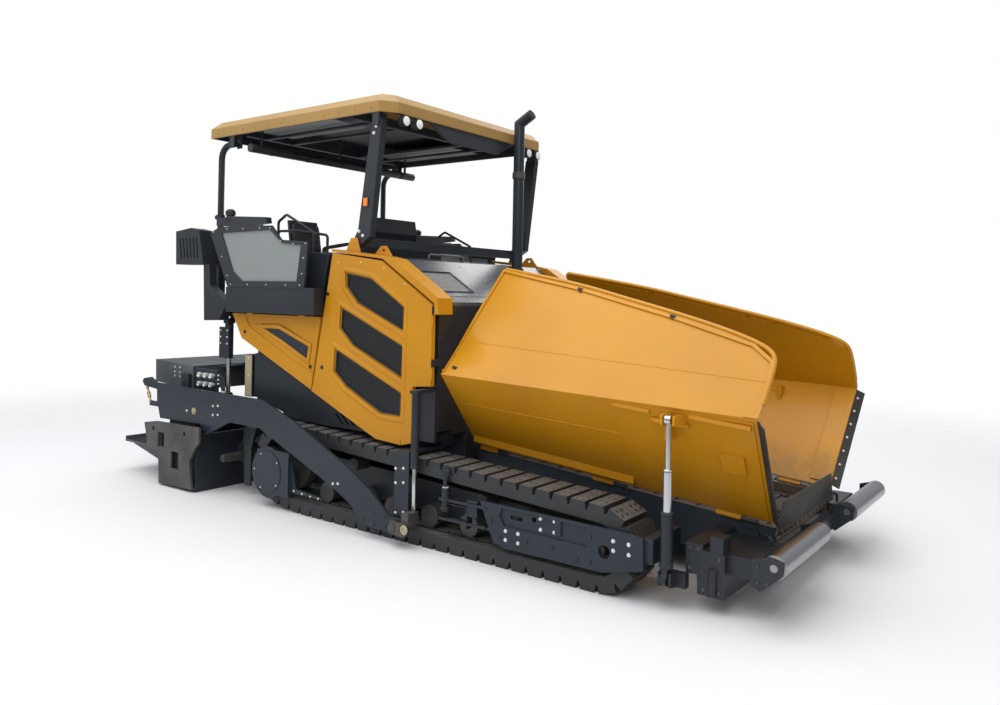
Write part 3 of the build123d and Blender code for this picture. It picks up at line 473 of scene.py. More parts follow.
def turned(name, places, axes, profile, look, body, sides=12, smooth=40, hollow=False):
    # point = place + radius * (cos t * e1 + sin t * e2) + height * axis, for each row of the profile
    places = np.atleast_2d(places).astype(float)
    axes = np.broadcast_to(np.asarray(axes, float), places.shape)
    axes = axes / np.linalg.norm(axes, axis=1, keepdims=True)
    helper = np.where(np.abs(axes[:, 2:]) < 0.8, np.array([[0.0, 0.0, 1.0]]), np.array([[1.0, 0.0, 0.0]]))
    e1 = np.cross(helper, axes)
    e1 /= np.linalg.norm(e1, axis=1, keepdims=True)
    e2 = np.cross(axes, e1)
    t = np.arange(sides) * 2 * np.pi / sides
    r, h = np.asarray(profile, float).T
    circle = np.cos(t)[None, :, None] * e1[:, None] + np.sin(t)[None, :, None] * e2[:, None]
    rise = h[None, :, None, None] * axes[:, None, None]
    points = places[:, None, None] + r[None, :, None, None] * circle[:, None] + rise
    return addMesh(name, points, ringFaces(len(places), len(r), sides, hollow), look, body, smooth)


def boxes(name, centres, halves, look, body, frames=None, bevel=0.002):
    # corner = centre + sx * hx * e1 + sy * hy * e2 + sz * hz * e3, for all eight sign triples
    centres = np.atleast_2d(centres).astype(float)
    halves = np.broadcast_to(np.asarray(halves, float), centres.shape)
    frames = np.eye(3) if frames is None else np.asarray(frames, float)
    frames = np.broadcast_to(frames, (len(centres), 3, 3))
    signs = np.array([(x, y, z) for z in (-1, 1) for y in (-1, 1) for x in (-1, 1)])
    points = centres[:, None] + np.einsum("ksi,kij->ksj", signs[None] * halves[:, None], frames)
    six = np.array([(0, 2, 3, 1), (4, 5, 7, 6), (0, 1, 5, 4), (2, 6, 7, 3), (0, 4, 6, 2), (1, 3, 7, 5)])
    faces = (six[None] + 8 * np.arange(len(centres))[:, None, None]).reshape(-1, 4)
    made = addMesh(name, points, faces.tolist(), look, body)
    if bevel:
        trim = made.modifiers.new("edge", "BEVEL")
        trim.width = bevel
        trim.segments = 2
        trim.limit_method = "ANGLE"
    return made


def bars(name, starts, ends, half, look, body, up=(0, 0, 1), bevel=0.0):
    # a box along each line: its middle is the mean of the ends, its first axis their difference
    starts, ends = np.atleast_2d(starts).astype(float), np.atleast_2d(ends).astype(float)
    run = ends - starts
    length = np.linalg.norm(run, axis=1, keepdims=True)
    e1 = run / length
    e2 = np.cross(np.asarray(up, float)[None], e1)
    e2 /= np.linalg.norm(e2, axis=1, keepdims=True)
    frames = np.stack([e1, e2, np.cross(e1, e2)], 1)
    halves = np.concatenate([length / 2, np.full_like(length, half[0]), np.full_like(length, half[1])], 1)
    return boxes(name, (starts + ends) / 2, halves, look, body, frames, bevel)


def tubes(name, paths, radius, look, body, sides=10):
    # circles of the radius square to each path's mean direction, one path a row, all with as many points
    paths = np.asarray(paths, float)
    run = np.gradient(paths, axis=1)
    run /= np.linalg.norm(run, axis=2, keepdims=True)
    whole = paths[:, -1] - paths[:, 0] + 1e-6
    upright = np.abs(whole[:, 2:]) > 0.7 * np.linalg.norm(whole, axis=1, keepdims=True)
    helper = np.where(upright, [[1.0, 0.13, 0.0]], [[0.07, 0.0, 1.0]])
    e1 = np.cross(np.broadcast_to(helper[:, None], run.shape), run)
    e1 /= np.linalg.norm(e1, axis=2, keepdims=True)
    e2 = np.cross(run, e1)
    t = np.arange(sides) * 2 * np.pi / sides
    circle = np.cos(t)[:, None] * e1[:, :, None] + np.sin(t)[:, None] * e2[:, :, None]
    points = paths[:, :, None] + radius * circle
    copies, rings = paths.shape[:2]
    return addMesh(name, points, ringFaces(copies, rings, sides), look, body, 60)


def curl(a, power=0.42):
    # keeps the sign and raises the size to a power
    return np.sign(a) * np.abs(a) ** power


def cushions(name, centres, halves, look, body, frame=((1, 0, 0), (0, 1, 0), (0, 0, 1)), seams=()):
    # superellipsoid: each cosine and sine is curled; the sides are pulled in
    # between the corners, the top is crowned, and each sewn channel is a narrow dip across the first axis
    lat = np.linspace(-np.pi / 2, np.pi / 2, 33)[1:-1]
    lon = np.arange(96) * 2 * np.pi / 96
    x = curl(np.cos(lat))[:, None] * curl(np.cos(lon))[None]
    y = curl(np.cos(lat))[:, None] * curl(np.sin(lon))[None]
    z = np.broadcast_to(curl(np.sin(lat))[:, None], x.shape)
    z = z * (0.78 + 0.22 * (1 - x ** 2) * (1 - y ** 2))
    for seam in seams:
        z = z - 0.16 * np.exp(-((x - seam) / 0.05) ** 2) * (z > 0)
    x, y = x * (1 - 0.05 * (1 - y ** 2)), y * (1 - 0.05 * (1 - x ** 2))
    shape = np.stack([x, y, z], -1) * np.asarray(halves, float) @ np.asarray(frame, float)
    points = np.atleast_2d(centres).astype(float)[:, None, None] + shape[None]
    made = addMesh(name, points, ringFaces(len(points), len(lat), len(lon)), look, body, 50)
    return made


def plates(name, quads, thick, look, body):
    # a flat sheet on each four corners, moved by the thickness along their normal for its other face
    quads = np.asarray(quads, float)
    normal = np.cross(quads[:, 1] - quads[:, 0], quads[:, 3] - quads[:, 0])
    normal /= np.linalg.norm(normal, axis=1, keepdims=True)
    points = np.concatenate([quads, quads + thick * normal[:, None]], 1)
    six = np.array([(3, 2, 1, 0), (4, 5, 6, 7), (0, 1, 5, 4), (1, 2, 6, 5), (2, 3, 7, 6), (3, 0, 4, 7)])
    faces = (six[None] + 8 * np.arange(len(quads))[:, None, None]).reshape(-1, 4)
    return addMesh(name, points, faces.tolist(), look, body)


def ridge(name, outline, profile, y, look, body, side):
    # a pressed rim: the outline's corners move out by each reach along (n1 + n2) / (1 + n1 . n2), n1 and n2
    # being the normals of the edges that meet there, and stand off the sheet by each height
    p = np.array(outline) * mm
    edge = np.roll(p, -1, 0) - p
    edge /= np.linalg.norm(edge, axis=1, keepdims=True)
    n2 = np.stack([-edge[:, 1], edge[:, 0]], -1)
    n1 = np.roll(n2, 1, 0)
    corner = (n1 + n2) / (1 + (n1 * n2).sum(1, keepdims=True))
    reach, rise = np.array(profile).T[:, ::side]
    q = p[None] + reach[:, None, None] * corner[None]
    points = spread(q[..., 0], side * (y + rise[:, None]), q[..., 1])
    return addMesh(name, points, ringFaces(1, len(reach), len(p), True), look, body, 30)


def collar(inner, outer, low, high):
    # a ring round a rod: up the outside, back down the bore
    lip = (outer - inner) * 0.3
    return [(inner, low), (outer - lip, low), (outer, low + lip), (outer, high - lip), (outer - lip, high),
            (inner, high)]


def sidePoints(points, y):
    # the same points in X and Z on the right and on the left, with the way out of each side
    p = np.asarray(points, float) * mm
    right = spread(p[:, 0], -y * mm, p[:, 1])
    left = right * (1, -1, 1)
    out = np.zeros((2 * len(p), 3))
    out[:len(p), 1] = -1
    out[len(p):, 1] = 1
    return np.concatenate([right, left]), out


def hexHead(size, washer=1.25):
    # washer, then a six-sided head with a small chamfer on top
    return [(size * washer, -0.001), (size * washer, size * 0.18), (size * 0.98, size * 0.19),
            (size, size * 0.75), (size * 0.8, size * 0.95)]


def roundHead(size):
    # a low dome
    return [(size, -0.001), (size, size * 0.25), (size * 0.75, size * 0.5), (size * 0.35, size * 0.58)]


def flatDisc(size):
    # a disc that stands just off its plate
    return [(size, -0.001), (size, 0.0006)]


def studs(name, points, y, size, look, body, head=hexHead, sides=6):
    # the same heads on the right and on the left, their places in X and Z and their size in millimetres
    places, out = sidePoints(points, y)
    return turned(name, places, out, head(size * mm), look, body, sides, 25)


# Track guards: bolt places in X and Z, in millimetres
guard = {
    "big": [(1491, 454), (1558, 368), (1487, 297), (1640, 252), (1896, 268), (2127, 269), (2343, 228),
            (2449, 407), (2447, 228)],
    "pale": [(1702, 314), (1820, 314), (1703, 245), (1821, 242), (2639, 418), (2760, 416), (2641, 351),
             (2762, 345)],
    "sunk": [(2011, 460), (2136, 461), (2013, 378), (2137, 380)],
    "foot": [(-820, 222), (-700, 212), (-580, 206), (-470, 204)],
    "y": 1490, "sunkY": 1472, "footY": 1475, "size": {"big": 15, "pale": 13, "foot": 9}}
studs("guardBolts", guard["big"], guard["y"], guard["size"]["big"], "guard", "machine")
studs("guardBoltsPale", guard["pale"], guard["y"], guard["size"]["pale"], "zinc", "machine")
studs("guardBoltsSunk", guard["sunk"], guard["sunkY"], guard["size"]["pale"], "zinc", "machine")

# Track adjusters: an upright body with rings, a spindle and a square head, and plates behind it
adjuster = {
    "at": [(1066, 0)], "y": 1462,
    "body": [(0.022, 0.350), (0.034, 0.354), (0.034, 0.372), (0.046, 0.374), (0.046, 0.392), (0.030, 0.396),
             (0.030, 0.440), (0.048, 0.443), (0.048, 0.462), (0.033, 0.466), (0.033, 0.500), (0.030, 0.503),
             (0.033, 0.507), (0.033, 0.540), (0.024, 0.545)],
    "ring": [(0.026, 0.543), (0.028, 0.546), (0.028, 0.554), (0.020, 0.557)],
    "spindle": [(0.016, 0.555), (0.016, 0.596), (0.021, 0.600), (0.021, 0.628), (0.017, 0.632),
                (0.017, 0.644)],
    "head": [(0.034, 0.643), (0.036, 0.646), (0.036, 0.690), (0.030, 0.696)],
    "plates": [(1190, z) for z in (437, 418, 300, 281)], "plateY": 1442, "plateHalf": (0.098, 0.030, 0.0045),
    "brackets": [(1296, 350), (1346, 415)], "bracketY": 1436,
    "bracketHalves": [(0.006, 0.038, 0.105), (0.052, 0.030, 0.066)]}
places = sidePoints(adjuster["at"], adjuster["y"])[0]
turned("adjusterBodies", places, upward, adjuster["body"], "guard", "machine", 28)
turned("adjusterRings", places, upward, adjuster["ring"], "zinc", "machine", 24)
turned("adjusterSpindles", places, upward, adjuster["spindle"], "brass", "machine", 20)
turned("adjusterHeads", places, upward, adjuster["head"], "guard", "machine", 4, 20)
places = sidePoints(adjuster["plates"], adjuster["plateY"])[0]
boxes("adjusterPlates", places, adjuster["plateHalf"], "guard", "machine")
places = sidePoints(adjuster["brackets"], adjuster["bracketY"])[0]
boxes("adjusterBrackets", places, adjuster["bracketHalves"] * 2, "guard", "machine", bevel=0.004)

# Drums of the track drives, with their bolts on a ring, and the bolts at the guards' feet
drum = {"middle": (-1196, 356), "ring": 188, "turns": np.radians((34, 118, 178, 241, 322)), "y": 1508,
        "bolt": 8, "plug": 10}
ring = drum["middle"] + drum["ring"] * np.stack([np.cos(drum["turns"]), np.sin(drum["turns"])], -1)
studs("drumBolts", ring, drum["y"], drum["bolt"], "zinc", "machine", roundHead, 10)
studs("drumPlugs", [drum["middle"]], drum["y"], drum["plug"], "rubber", "machine", roundHead, 12)
studs("footBolts", guard["foot"], guard["footY"], guard["size"]["foot"], "zinc", "machine")
print("guards done")

# Tracks: bolt heads on the pads and the link plates of the chain; each wheel is its X, its Z and its radius
loop = {
    "wheels": ((-1.040, 0.440, 0.410), (-0.700, 0.320, 0.320), (2.490, 0.318, 0.318)), "shoes": 58,
    "padInset": 0.058, "padRise": 0.0575, "padY": (1.125, 1.195, 1.335, 1.405), "padAlong": (-0.026, 0.026),
    "padBolt": [(0.013, 0), (0.013, 0.0012), (0.009, 0.0016)], "lying": -0.97,
    "linkInset": 0.135, "linkY": (1.195, 1.335), "linkHalf": (0.062, 0.009, 0.012), "steps": 200}


def loopPoints(inset, shares):
    # arcs round the three wheels joined by tangents; shares of the length give points and outward angles
    w = np.array(loop["wheels"]) - (0, 0, inset)
    nxt = np.roll(w, -1, 0)
    dx, dz, dr = nxt[:, 0] - w[:, 0], nxt[:, 1] - w[:, 1], w[:, 2] - nxt[:, 2]
    turn = np.arctan2(dz, dx) - np.pi / 2 + np.arctan2(dr, np.sqrt(dx ** 2 + dz ** 2 - dr ** 2))
    start = np.roll(turn, 1)
    stop = start + (turn - start) % (2 * np.pi)
    fine = np.linspace(0, 1, loop["steps"])
    arcs = start[:, None] + (stop - start)[:, None] * fine
    ax, az = w[:, :1] + w[:, 2:] * np.cos(arcs), w[:, 1:2] + w[:, 2:] * np.sin(arcs)
    lx = ax[:, -1:] + (np.roll(ax[:, 0], -1)[:, None] - ax[:, -1:]) * fine
    lz = az[:, -1:] + (np.roll(az[:, 0], -1)[:, None] - az[:, -1:]) * fine
    x, z = np.concatenate([ax, lx], 1).ravel(), np.concatenate([az, lz], 1).ravel()
    angle = np.concatenate([arcs, np.repeat(stop[:, None], loop["steps"], 1)], 1).ravel()
    s = np.concatenate([[0], np.cumsum(np.hypot(np.diff(x), np.diff(z)))])
    at = np.asarray(shares) * s[-1]
    return np.interp(at, s, x), np.interp(at, s, z), np.interp(at, s, np.unwrap(angle))


shares = (np.arange(loop["shoes"]) + 0.5) / loop["shoes"]
padX, padZ, padTurn = loopPoints(loop["padInset"], shares)
outX, outZ = np.cos(padTurn), np.sin(padTurn)
offGround = outZ > loop["lying"]  # shoes that lie on the ground have no bolt heads below them
linkX, linkZ, linkTurn = loopPoints(loop["linkInset"], shares)
tangent = spread(-np.sin(linkTurn), 0.0, np.cos(linkTurn))
outward = spread(np.cos(linkTurn), 0.0, np.sin(linkTurn))
frames = np.stack([tangent, np.cross(outward, tangent), outward], 1)
for side, hand in hands:
    y, along = (v.ravel() for v in np.meshgrid(loop["padY"], loop["padAlong"], indexing="ij"))
    x = padX[:, None] + outX[:, None] * loop["padRise"] - outZ[:, None] * along
    z = padZ[:, None] + outZ[:, None] * loop["padRise"] + outX[:, None] * along
    heads = spread(x, side * y, z)[offGround].reshape(-1, 3)
    axes = np.repeat(spread(outX, 0.0, outZ)[offGround], len(y), 0)
    turned("padBolts_" + hand, heads, axes, loop["padBolt"], "rubber", "machine", 8)
    for k, row in enumerate(loop["linkY"]):
        mid = spread(linkX, side * row, linkZ)
        boxes(f"links_{hand}_{k}", mid, loop["linkHalf"], "pads", "machine", frames, 0)
print("tracks done")

# Doors: locks, screws, a bead and a pressed rim round each window, and the blank plate with its own rim
door = {
    "y": 1.350, "lock": [(0.019, -0.001), (0.019, 0.004), (0.015, 0.007), (0.007, 0.007), (0.006, 0.003)],
    "locks": ((-0.534, 2.111), (-0.600, 1.411)), "rearLocks": ((-0.770, 1.405), (-1.80, 1.700)),
    "screwX": (-0.40, -0.10, 0.20, 0.45), "screwZ": 2.41, "screwFall": (0.1, 0.56), "screw": 0.007,
    "windows": ([(-281, 2302), (26, 2252), (435, 2003), (430, 1817), (-130, 2042), (-277, 2186)],
                [(-338, 1971), (424, 1660), (421, 1402), (-184, 1651), (-349, 1797)],
                [(-406, 1577), (419, 1245), (416, 1058), (186, 1061), (-261, 1262), (-419, 1389)]),
    "bead": (0.007, 0.004), "beadY": 1.3365,
    "rim": [(0.020, -0.002), (0.020, 0.001), (0.028, 0.007), (0.040, 0.009), (0.052, 0.006), (0.066, 0.001),
            (0.066, -0.002)],
    "plate": [(-1460, 1744), (-1251, 1746), (-803, 1595), (-823, 1487), (-1199, 1649)],
    "plateY": (1.349, 1.351),
    "plateRim": [(0.006, -0.002), (0.006, 0.004), (0.016, 0.007), (0.028, 0.006), (0.042, 0.001),
                 (0.042, -0.002)]}
for side, hand in hands:
    front, rear = "door_front_" + hand, "door_rear_" + hand
    out = (0, side, 0)
    y = side * door["y"]
    at = [(x, y, z) for x, z in door["locks"]]
    turned("doorLocks_" + hand, at, out, door["lock"], "plastic", front, 20)
    at = [(x, y, z) for x, z in door["rearLocks"]]
    turned("rearDoorLocks_" + hand, at, out, door["lock"], "plastic", rear, 20)
    x = np.array(door["screwX"])
    fallFrom, fall = door["screwFall"]
    at = spread(x, y, door["screwZ"] - fall * np.maximum(x - fallFrom, 0))
    turned("doorScrews_" + hand, at, out, roundHead(door["screw"]), "zinc", front, 8)
    for k, window in enumerate(door["windows"]):
        w = np.array(window) * mm
        a = spread(w[:, 0], side * door["beadY"], w[:, 1])
        bars(f"windowBead_{hand}_{k}", a, np.roll(a, -1, 0), door["bead"], "rubber", front, up=(0, 1, 0))
        ridge(f"windowRim_{hand}_{k}", window, door["rim"], door["y"], "amber", front, side)
    ridge("plateRim_" + hand, door["plate"], door["plateRim"], door["y"], "amber", rear, side)
    p = np.array(door["plate"]) * mm
    levels = np.array(door["plateY"])[::side] * side
    flat = spread(p[:, 0], levels[:, None], p[:, 1])
    addMesh("blankPlate_" + hand, flat, ringFaces(1, 2, len(p)), "guard", rear)
print("doors done")

# Hopper and wings: points are given in millimetres, along the hopper (u), across (y) and square to its
# floor (w)
bed = {"turn": np.radians(5.02), "x": 0.790, "z": 0.750,
       "apron": (2774, -41), "apronY": np.linspace(-660, 660, 13), "apronBolt": 0.012,
       "sideU": np.linspace(160, 2600, 12), "sideY": 660, "sideW": -70, "sideBolt": 0.012,
       "chainY": (-600, -70, 70, 600), "chainU": 45 + 63 * np.arange(42), "chainW": -94, "link": 50,
       "linkHalf": (0.014, 0.006)}
wing = {
    "rear": 6, "length": 2729, "knee": 702, "kneeRise": 141, "kneeY": -1310, "hinge": (-720, 26),
    "lean": 0.84, "square": (-0.766, 0.643),
    "seam": (120, 1642, 0.62), "upperSeam": ((60, 985), (2690, 1072)), "seamRadius": 0.006,
    "flap": (2734, 2796, -62), "flapShares": (0.035, 0.985), "flapThick": 0.010,
    "flapBolts": np.linspace(0.1, 0.9, 7), "flapBolt": 0.010,
    "edge": ((6, 1620), (913, 1537), (1853, 1416), (2531, 1310)),
    "strip": (40, 2500, 25), "stripThick": 0.016,
    "rim": ((30, 1628), (460, 1600), (913, 1563), (1400, 1496), (1853, 1436), (2250, 1374), (2531, 1316),
            (2690, 1256), (2717, 1150), (2726, 930)),
    "rimRadius": 0.018, "holes": (918, 1840), "holeRadius": 30, "holeLean": 0.13, "holeDepths": (13, 14.8),
    "slot": ((90, 772), (132, 768)), "slotRadius": 0.014}


def hopper(u, y, w):
    # X = x + u cos t + w sin t, Z = z - u sin t + w cos t
    u, y, w = (np.asarray(v, float) * mm for v in (u, y, w))
    ahead, rise = np.cos(bed["turn"]), np.sin(bed["turn"])
    return spread(bed["x"] + u * ahead + w * rise, y, bed["z"] - u * rise + w * ahead)


def kneeHeight(u):
    # a straight line from the knee's rear end to its front end
    return wing["knee"] + (np.asarray(u, float) - wing["rear"]) / wing["length"] * wing["kneeRise"]


def lowerPanel(u, share, depth, side):
    # a point on the lower panel: share of the way from the hinge to the knee, then inwards by depth
    hingeY, hingeW = wing["hinge"]
    run = np.stack(np.broadcast_arrays(wing["kneeY"] - hingeY, kneeHeight(u) - hingeW), -1)
    ahead = run / np.linalg.norm(run, axis=-1, keepdims=True)
    y = hingeY + share * run[..., 0] + depth * ahead[..., 1]
    w = hingeW + share * run[..., 1] - depth * ahead[..., 0]
    return hopper(u, y, w) * (1, -side, 1)


def upperPanel(u, w, depth, side):
    # a point on the upper panel: from the knee inwards by its lean, then outwards by depth
    u, w = np.asarray(u, float), np.asarray(w, float)
    outY, outW = wing["square"]
    y = wing["kneeY"] + wing["lean"] * (w - kneeHeight(u)) + outY * depth
    return hopper(u, y, w + outW * depth) * (1, -side, 1)


def rounded(corners, times=3):
    # each stretch is cut at 1/4 and 3/4 of its length, time after time, and both ends stay
    line = np.array(corners, float)
    for _ in range(times):
        a, b = line[:-1], line[1:]
        cut = np.stack([0.75 * a + 0.25 * b, 0.25 * a + 0.75 * b], 1).reshape(-1, 2)
        line = np.concatenate([line[:1], cut, line[-1:]])
    return line


for side, hand in hands:
    body = "wing_" + hand
    u0, u1, share = wing["seam"]
    line = lowerPanel(np.linspace(u0, u1, 6), share, 2, side)
    (ua, wa), (ub, wb) = wing["upperSeam"]
    top = upperPanel(np.linspace(ua, ub, 6), np.linspace(wa, wb, 6), -3, side)
    tubes("wingSeams_" + hand, [line, top], wing["seamRadius"], "wing", body, 12)
    # rubber flap, turned forward and inward from the front edge, with its row of bolts
    u0, u1, turn = wing["flap"]
    rows = ((u0, 2), (u1, 2 + turn))
    ends = [lowerPanel(u, share, depth, side) for share in wing["flapShares"] for u, depth in rows]
    order = (0, 1, 3, 2) if side < 0 else (0, 2, 3, 1)
    plates("wingFlap_" + hand, [[ends[i] for i in order]], wing["flapThick"], "rubber", body)
    at = lowerPanel(u0 + 24, wing["flapBolts"], -8, side)
    lean = lowerPanel(u0 + 25, wing["flapBolts"], -7, side) - at
    turned("flapBolts_" + hand, at, lean, hexHead(wing["flapBolt"]), "zinc", body, 6, 25)
    # a tube follows the rolled rim, and a strip joins it to the panel's edge; under it lie dark half-discs,
    # painted shade for the lower halves of the two round holes
    line = rounded(wing["rim"])
    path = upperPanel(line[:, 0], line[:, 1], -2, side)
    tubes("wingRim_" + hand, [path], wing["rimRadius"], "wing", body, 16)
    edgeU, edgeW = np.array(wing["edge"], float).T
    u = np.linspace(*wing["strip"])
    low = upperPanel(u, np.interp(u, edgeU, edgeW) - 8, -14, side)
    high = upperPanel(u, np.interp(u, line[:, 0], line[:, 1]), -14, side)
    right = np.stack([low[:-1], low[1:], high[1:], high[:-1]], 1)
    strip = right if side < 0 else right[:, (0, 3, 2, 1)]
    plates("rimStrip_" + hand, strip, wing["stripThick"], "wing", body)
    half = np.radians(np.linspace(180, 360, 17)) - wing["holeLean"]
    circle = wing["holeRadius"] * np.stack([np.cos(half), np.sin(half)])
    depths = wing["holeDepths"][::-side]
    # each hole is a dark half-disc on the panel: painted shade seen through it
    for k, u in enumerate(wing["holes"]):
        w = np.interp(u, edgeU, edgeW) - 4
        flat = [upperPanel(u + circle[0], w + circle[1], depth, side) for depth in depths]
        addMesh(f"rimHoleShade_{hand}_{k}", np.stack(flat), ringFaces(1, 2, len(half)), "rubber", body)
    # a dark rod on the panel is painted shade for the slot through it
    (ua, wa), (ub, wb) = wing["slot"]
    slot = upperPanel(np.array([ua, ub]), np.array([wa, wb]), 1, side)
    tubes("wingSlotShade_" + hand, [np.linspace(slot[0], slot[1], 3)], wing["slotRadius"], "rubber", body, 10)
# bolts of the apron and of the floor's sides
u, w = bed["apron"]
at = hopper(u, bed["apronY"], w)
ahead = hopper(1, 0, 0) - hopper(0, 0, 0)
turned("apronBolts", at, ahead, hexHead(bed["apronBolt"]), "steel", "machine", 6, 25)
for side, hand in hands:
    at = hopper(bed["sideU"], side * bed["sideY"], bed["sideW"])
    turned("floorBolts_" + hand, at, (0, -side, 0), roundHead(bed["sideBolt"]), "steel", "machine", 10)
# chains of the slat conveyors, as runs of flat links
for k, y in enumerate(bed["chainY"]):
    a = hopper(bed["chainU"], y, bed["chainW"])
    b = hopper(bed["chainU"] + bed["link"], y, bed["chainW"])
    bars(f"slatChain_{k}", a, b, bed["linkHalf"], "steel", "machine")
print("hopper done")

# Push beam: bolts on the cheeks, end caps of the rollers, collars of the wing cylinders
beam = {
    "cheek": [(3640, 430), (3640, 330), (3700, 330)], "cheekY": 1418,
    "box": [(3130, 430), (3190, 430), (3130, 290), (3340, 380), (3340, 160), (3230, 160)],
    "boxY": 1300, "bolt": 12,
    "roller": (3.740, 1.396, 0.440),
    "cap": [(0.060, -0.001), (0.060, 0.002), (0.050, 0.003), (0.030, 0.0035)],
    "cylinder": (3.008, 1.415, 0.0), "barrelHead": collar(0.0308, 0.046, 0.6512, 0.672),
    "barrelFoot": collar(0.0423, 0.049, 0.296, 0.336), "stageHead": collar(0.0188, 0.033, 0.9462, 0.966),
    "collars": (("barrelHead", "dark", "wing_barrel_"), ("barrelFoot", "dark", "wing_barrel_"),
                ("stageHead", "bright", "wing_stage_"))}
studs("cheekBolts", beam["cheek"], beam["cheekY"], beam["bolt"], "steel", "machine")
studs("boxBolts", beam["box"], beam["boxY"], beam["bolt"], "steel", "machine")
for side, hand in hands:
    flip = np.array((1, side, 1))
    spot = beam["roller"] * flip
    turned("rollerCaps_" + hand, spot, (0, side, 0), beam["cap"], "steel", "push_roller_" + hand, 32)
    spot = beam["cylinder"] * flip
    for name, look, body in beam["collars"]:
        turned(f"{name}_{hand}", spot, upward, beam[name], look, body + hand, 32, 40, True)
print("push beam done")

# Tow guides, carriers and levelling cylinders
guide = {
    "bolts": [(556, 640), (645, 653), (558, 518), (648, 532), (562, 265), (654, 281), (564, 213),
              (656, 229)],
    "holes": [(575, 768), (605, 772), (637, 776), (670, 780)], "y": 1520, "bolt": 11, "hole": 8,
    "roller": (0.765, 1.630, 0.175),
    "rollerCap": [(0.040, -0.001), (0.040, 0.003), (0.033, 0.010), (0.020, 0.010), (0.018, 0.004),
                  (0.008, 0.004)],
    "pin": (0.625, 1.630, 0.170),
    "pinCap": [(0.034, -0.001), (0.034, 0.008), (0.028, 0.012), (0.012, 0.0125)],
    "cylinder": (0.752, 1.500, 0.0),
    "rod": [(0.0181, 0.300), (0.0192, 0.302), (0.0192, 0.658), (0.0181, 0.660)],
    "head": collar(0.0198, 0.037, 0.664, 0.6895),
    "cover": [(x, z) for x in (-2222, -2108) for z in (1560, 1630, 1700)], "coverY": 1346, "coverBolt": 9}
studs("guideBolts", guide["bolts"], guide["y"], guide["bolt"], "zinc", "machine")
# dark discs are painted shade for the holes in the guides
studs("guideHoleShades", guide["holes"], guide["y"], guide["hole"], "rubber", "machine", flatDisc, 14)
for side, hand in hands:
    flip, out = np.array((1, side, 1)), (0, side, 0)
    turned("guideRoller_" + hand, guide["roller"] * flip, out, guide["rollerCap"], "tan", "tow_points", 28)
    turned("towPinCap_" + hand, guide["pin"] * flip, out, guide["pinCap"], "steel", "tow_points", 24)
    spot = guide["cylinder"] * flip
    turned("levelRod_" + hand, spot, upward, guide["rod"], "bright", "tow_points", 28, 40, True)
    turned("levelHead_" + hand, spot, upward, guide["head"], "dark", "machine", 28, 40, True)
studs("liftCoverBolts", guide["cover"], guide["coverY"], guide["coverBolt"], "zinc", "lift_barrels")
print("cylinders done")

# Tow arms: bolts, washers and the panel of hose couplers
arm = {
    "pale": [(-1999, 929), (-1913, 938), (-1996, 837), (-1910, 846), (-162, 408), (-97, 418), (-2464, 836)],
    "dark": [(229, 165), (350, 226), (352, 140), (489, 233), (491, 150)],
    "y": 1575, "bolt": 11, "darkBolt": 18,
    "washers": [(-2335, 844)],
    "washer": [(0.036, -0.001), (0.036, 0.006), (0.018, 0.007), (0.016, 0.018), (0.010, 0.02)],
    "panel": [(-2420, 1140)], "panelY": 1380, "panelHalf": (0.220, 0.010, 0.130),
    "couplers": [(x, z) for x in (-2480, -2372, -2266) for z in (1113, 1208)], "couplerY": 1390,
    "coupler": [(0.020, -0.001), (0.020, 0.018), (0.028, 0.020), (0.028, 0.050), (0.020, 0.054),
                (0.016, 0.047), (0.006, 0.047)]}
studs("armBolts", arm["pale"], arm["y"], arm["bolt"], "zinc", "screed")
studs("armBoltsDark", arm["dark"], arm["y"], arm["darkBolt"], "guard", "screed", roundHead, 16)
places, out = sidePoints(arm["washers"], arm["y"])
turned("armWashers", places, out, arm["washer"], "tan", "screed", 24)
places = sidePoints(arm["panel"], arm["panelY"])[0]
boxes("couplerPanels", places, arm["panelHalf"], "guard", "screed", bevel=0.004)
places, out = sidePoints(arm["couplers"], arm["couplerY"])
turned("couplers", places, out, arm["coupler"], "zinc", "screed", 18)

# Short hydraulic hoses: out of the coupler panel's end, a quarter circle, then down into the arm's bracket
hose = {
    "radius": 0.009, "start": (-2.203, 1.380), "foot": 1.036,
    "runs": ((1.215, -2.090, 0.098), (1.168, -2.111, 0.086), (1.124, -2.130, 0.072)),
    "fitting": [(0.0095, 0.0), (0.0135, 0.002), (0.0135, 0.016), (0.0095, 0.020)]}
turnBy = np.linspace(0, np.pi / 2, 15)
for side, hand in hands:
    for k, (startZ, endX, bend) in enumerate(hose["runs"]):
        arcX, arcZ = endX - bend + bend * np.sin(turnBy), startZ - bend + bend * np.cos(turnBy)
        x = np.concatenate([np.linspace(hose["start"][0], arcX[0], 3)[:-1], arcX, np.full(3, endX)])
        z = np.concatenate([np.full(2, startZ), arcZ, np.linspace(arcZ[-1], hose["foot"], 4)[1:]])
        path = spread(x, side * hose["start"][1], z)
        made = tubes(f"hose_{hand}_{k}", [path], hose["radius"], "rubber", "screed", 16)
        ends = ([path[0], path[-1]], [(1, 0, 0), (0, 0, 1)])
        turned(f"hoseFittings_{hand}_{k}", *ends, hose["fitting"], "zinc", "screed", 12, 30, True)
print("hoses done")

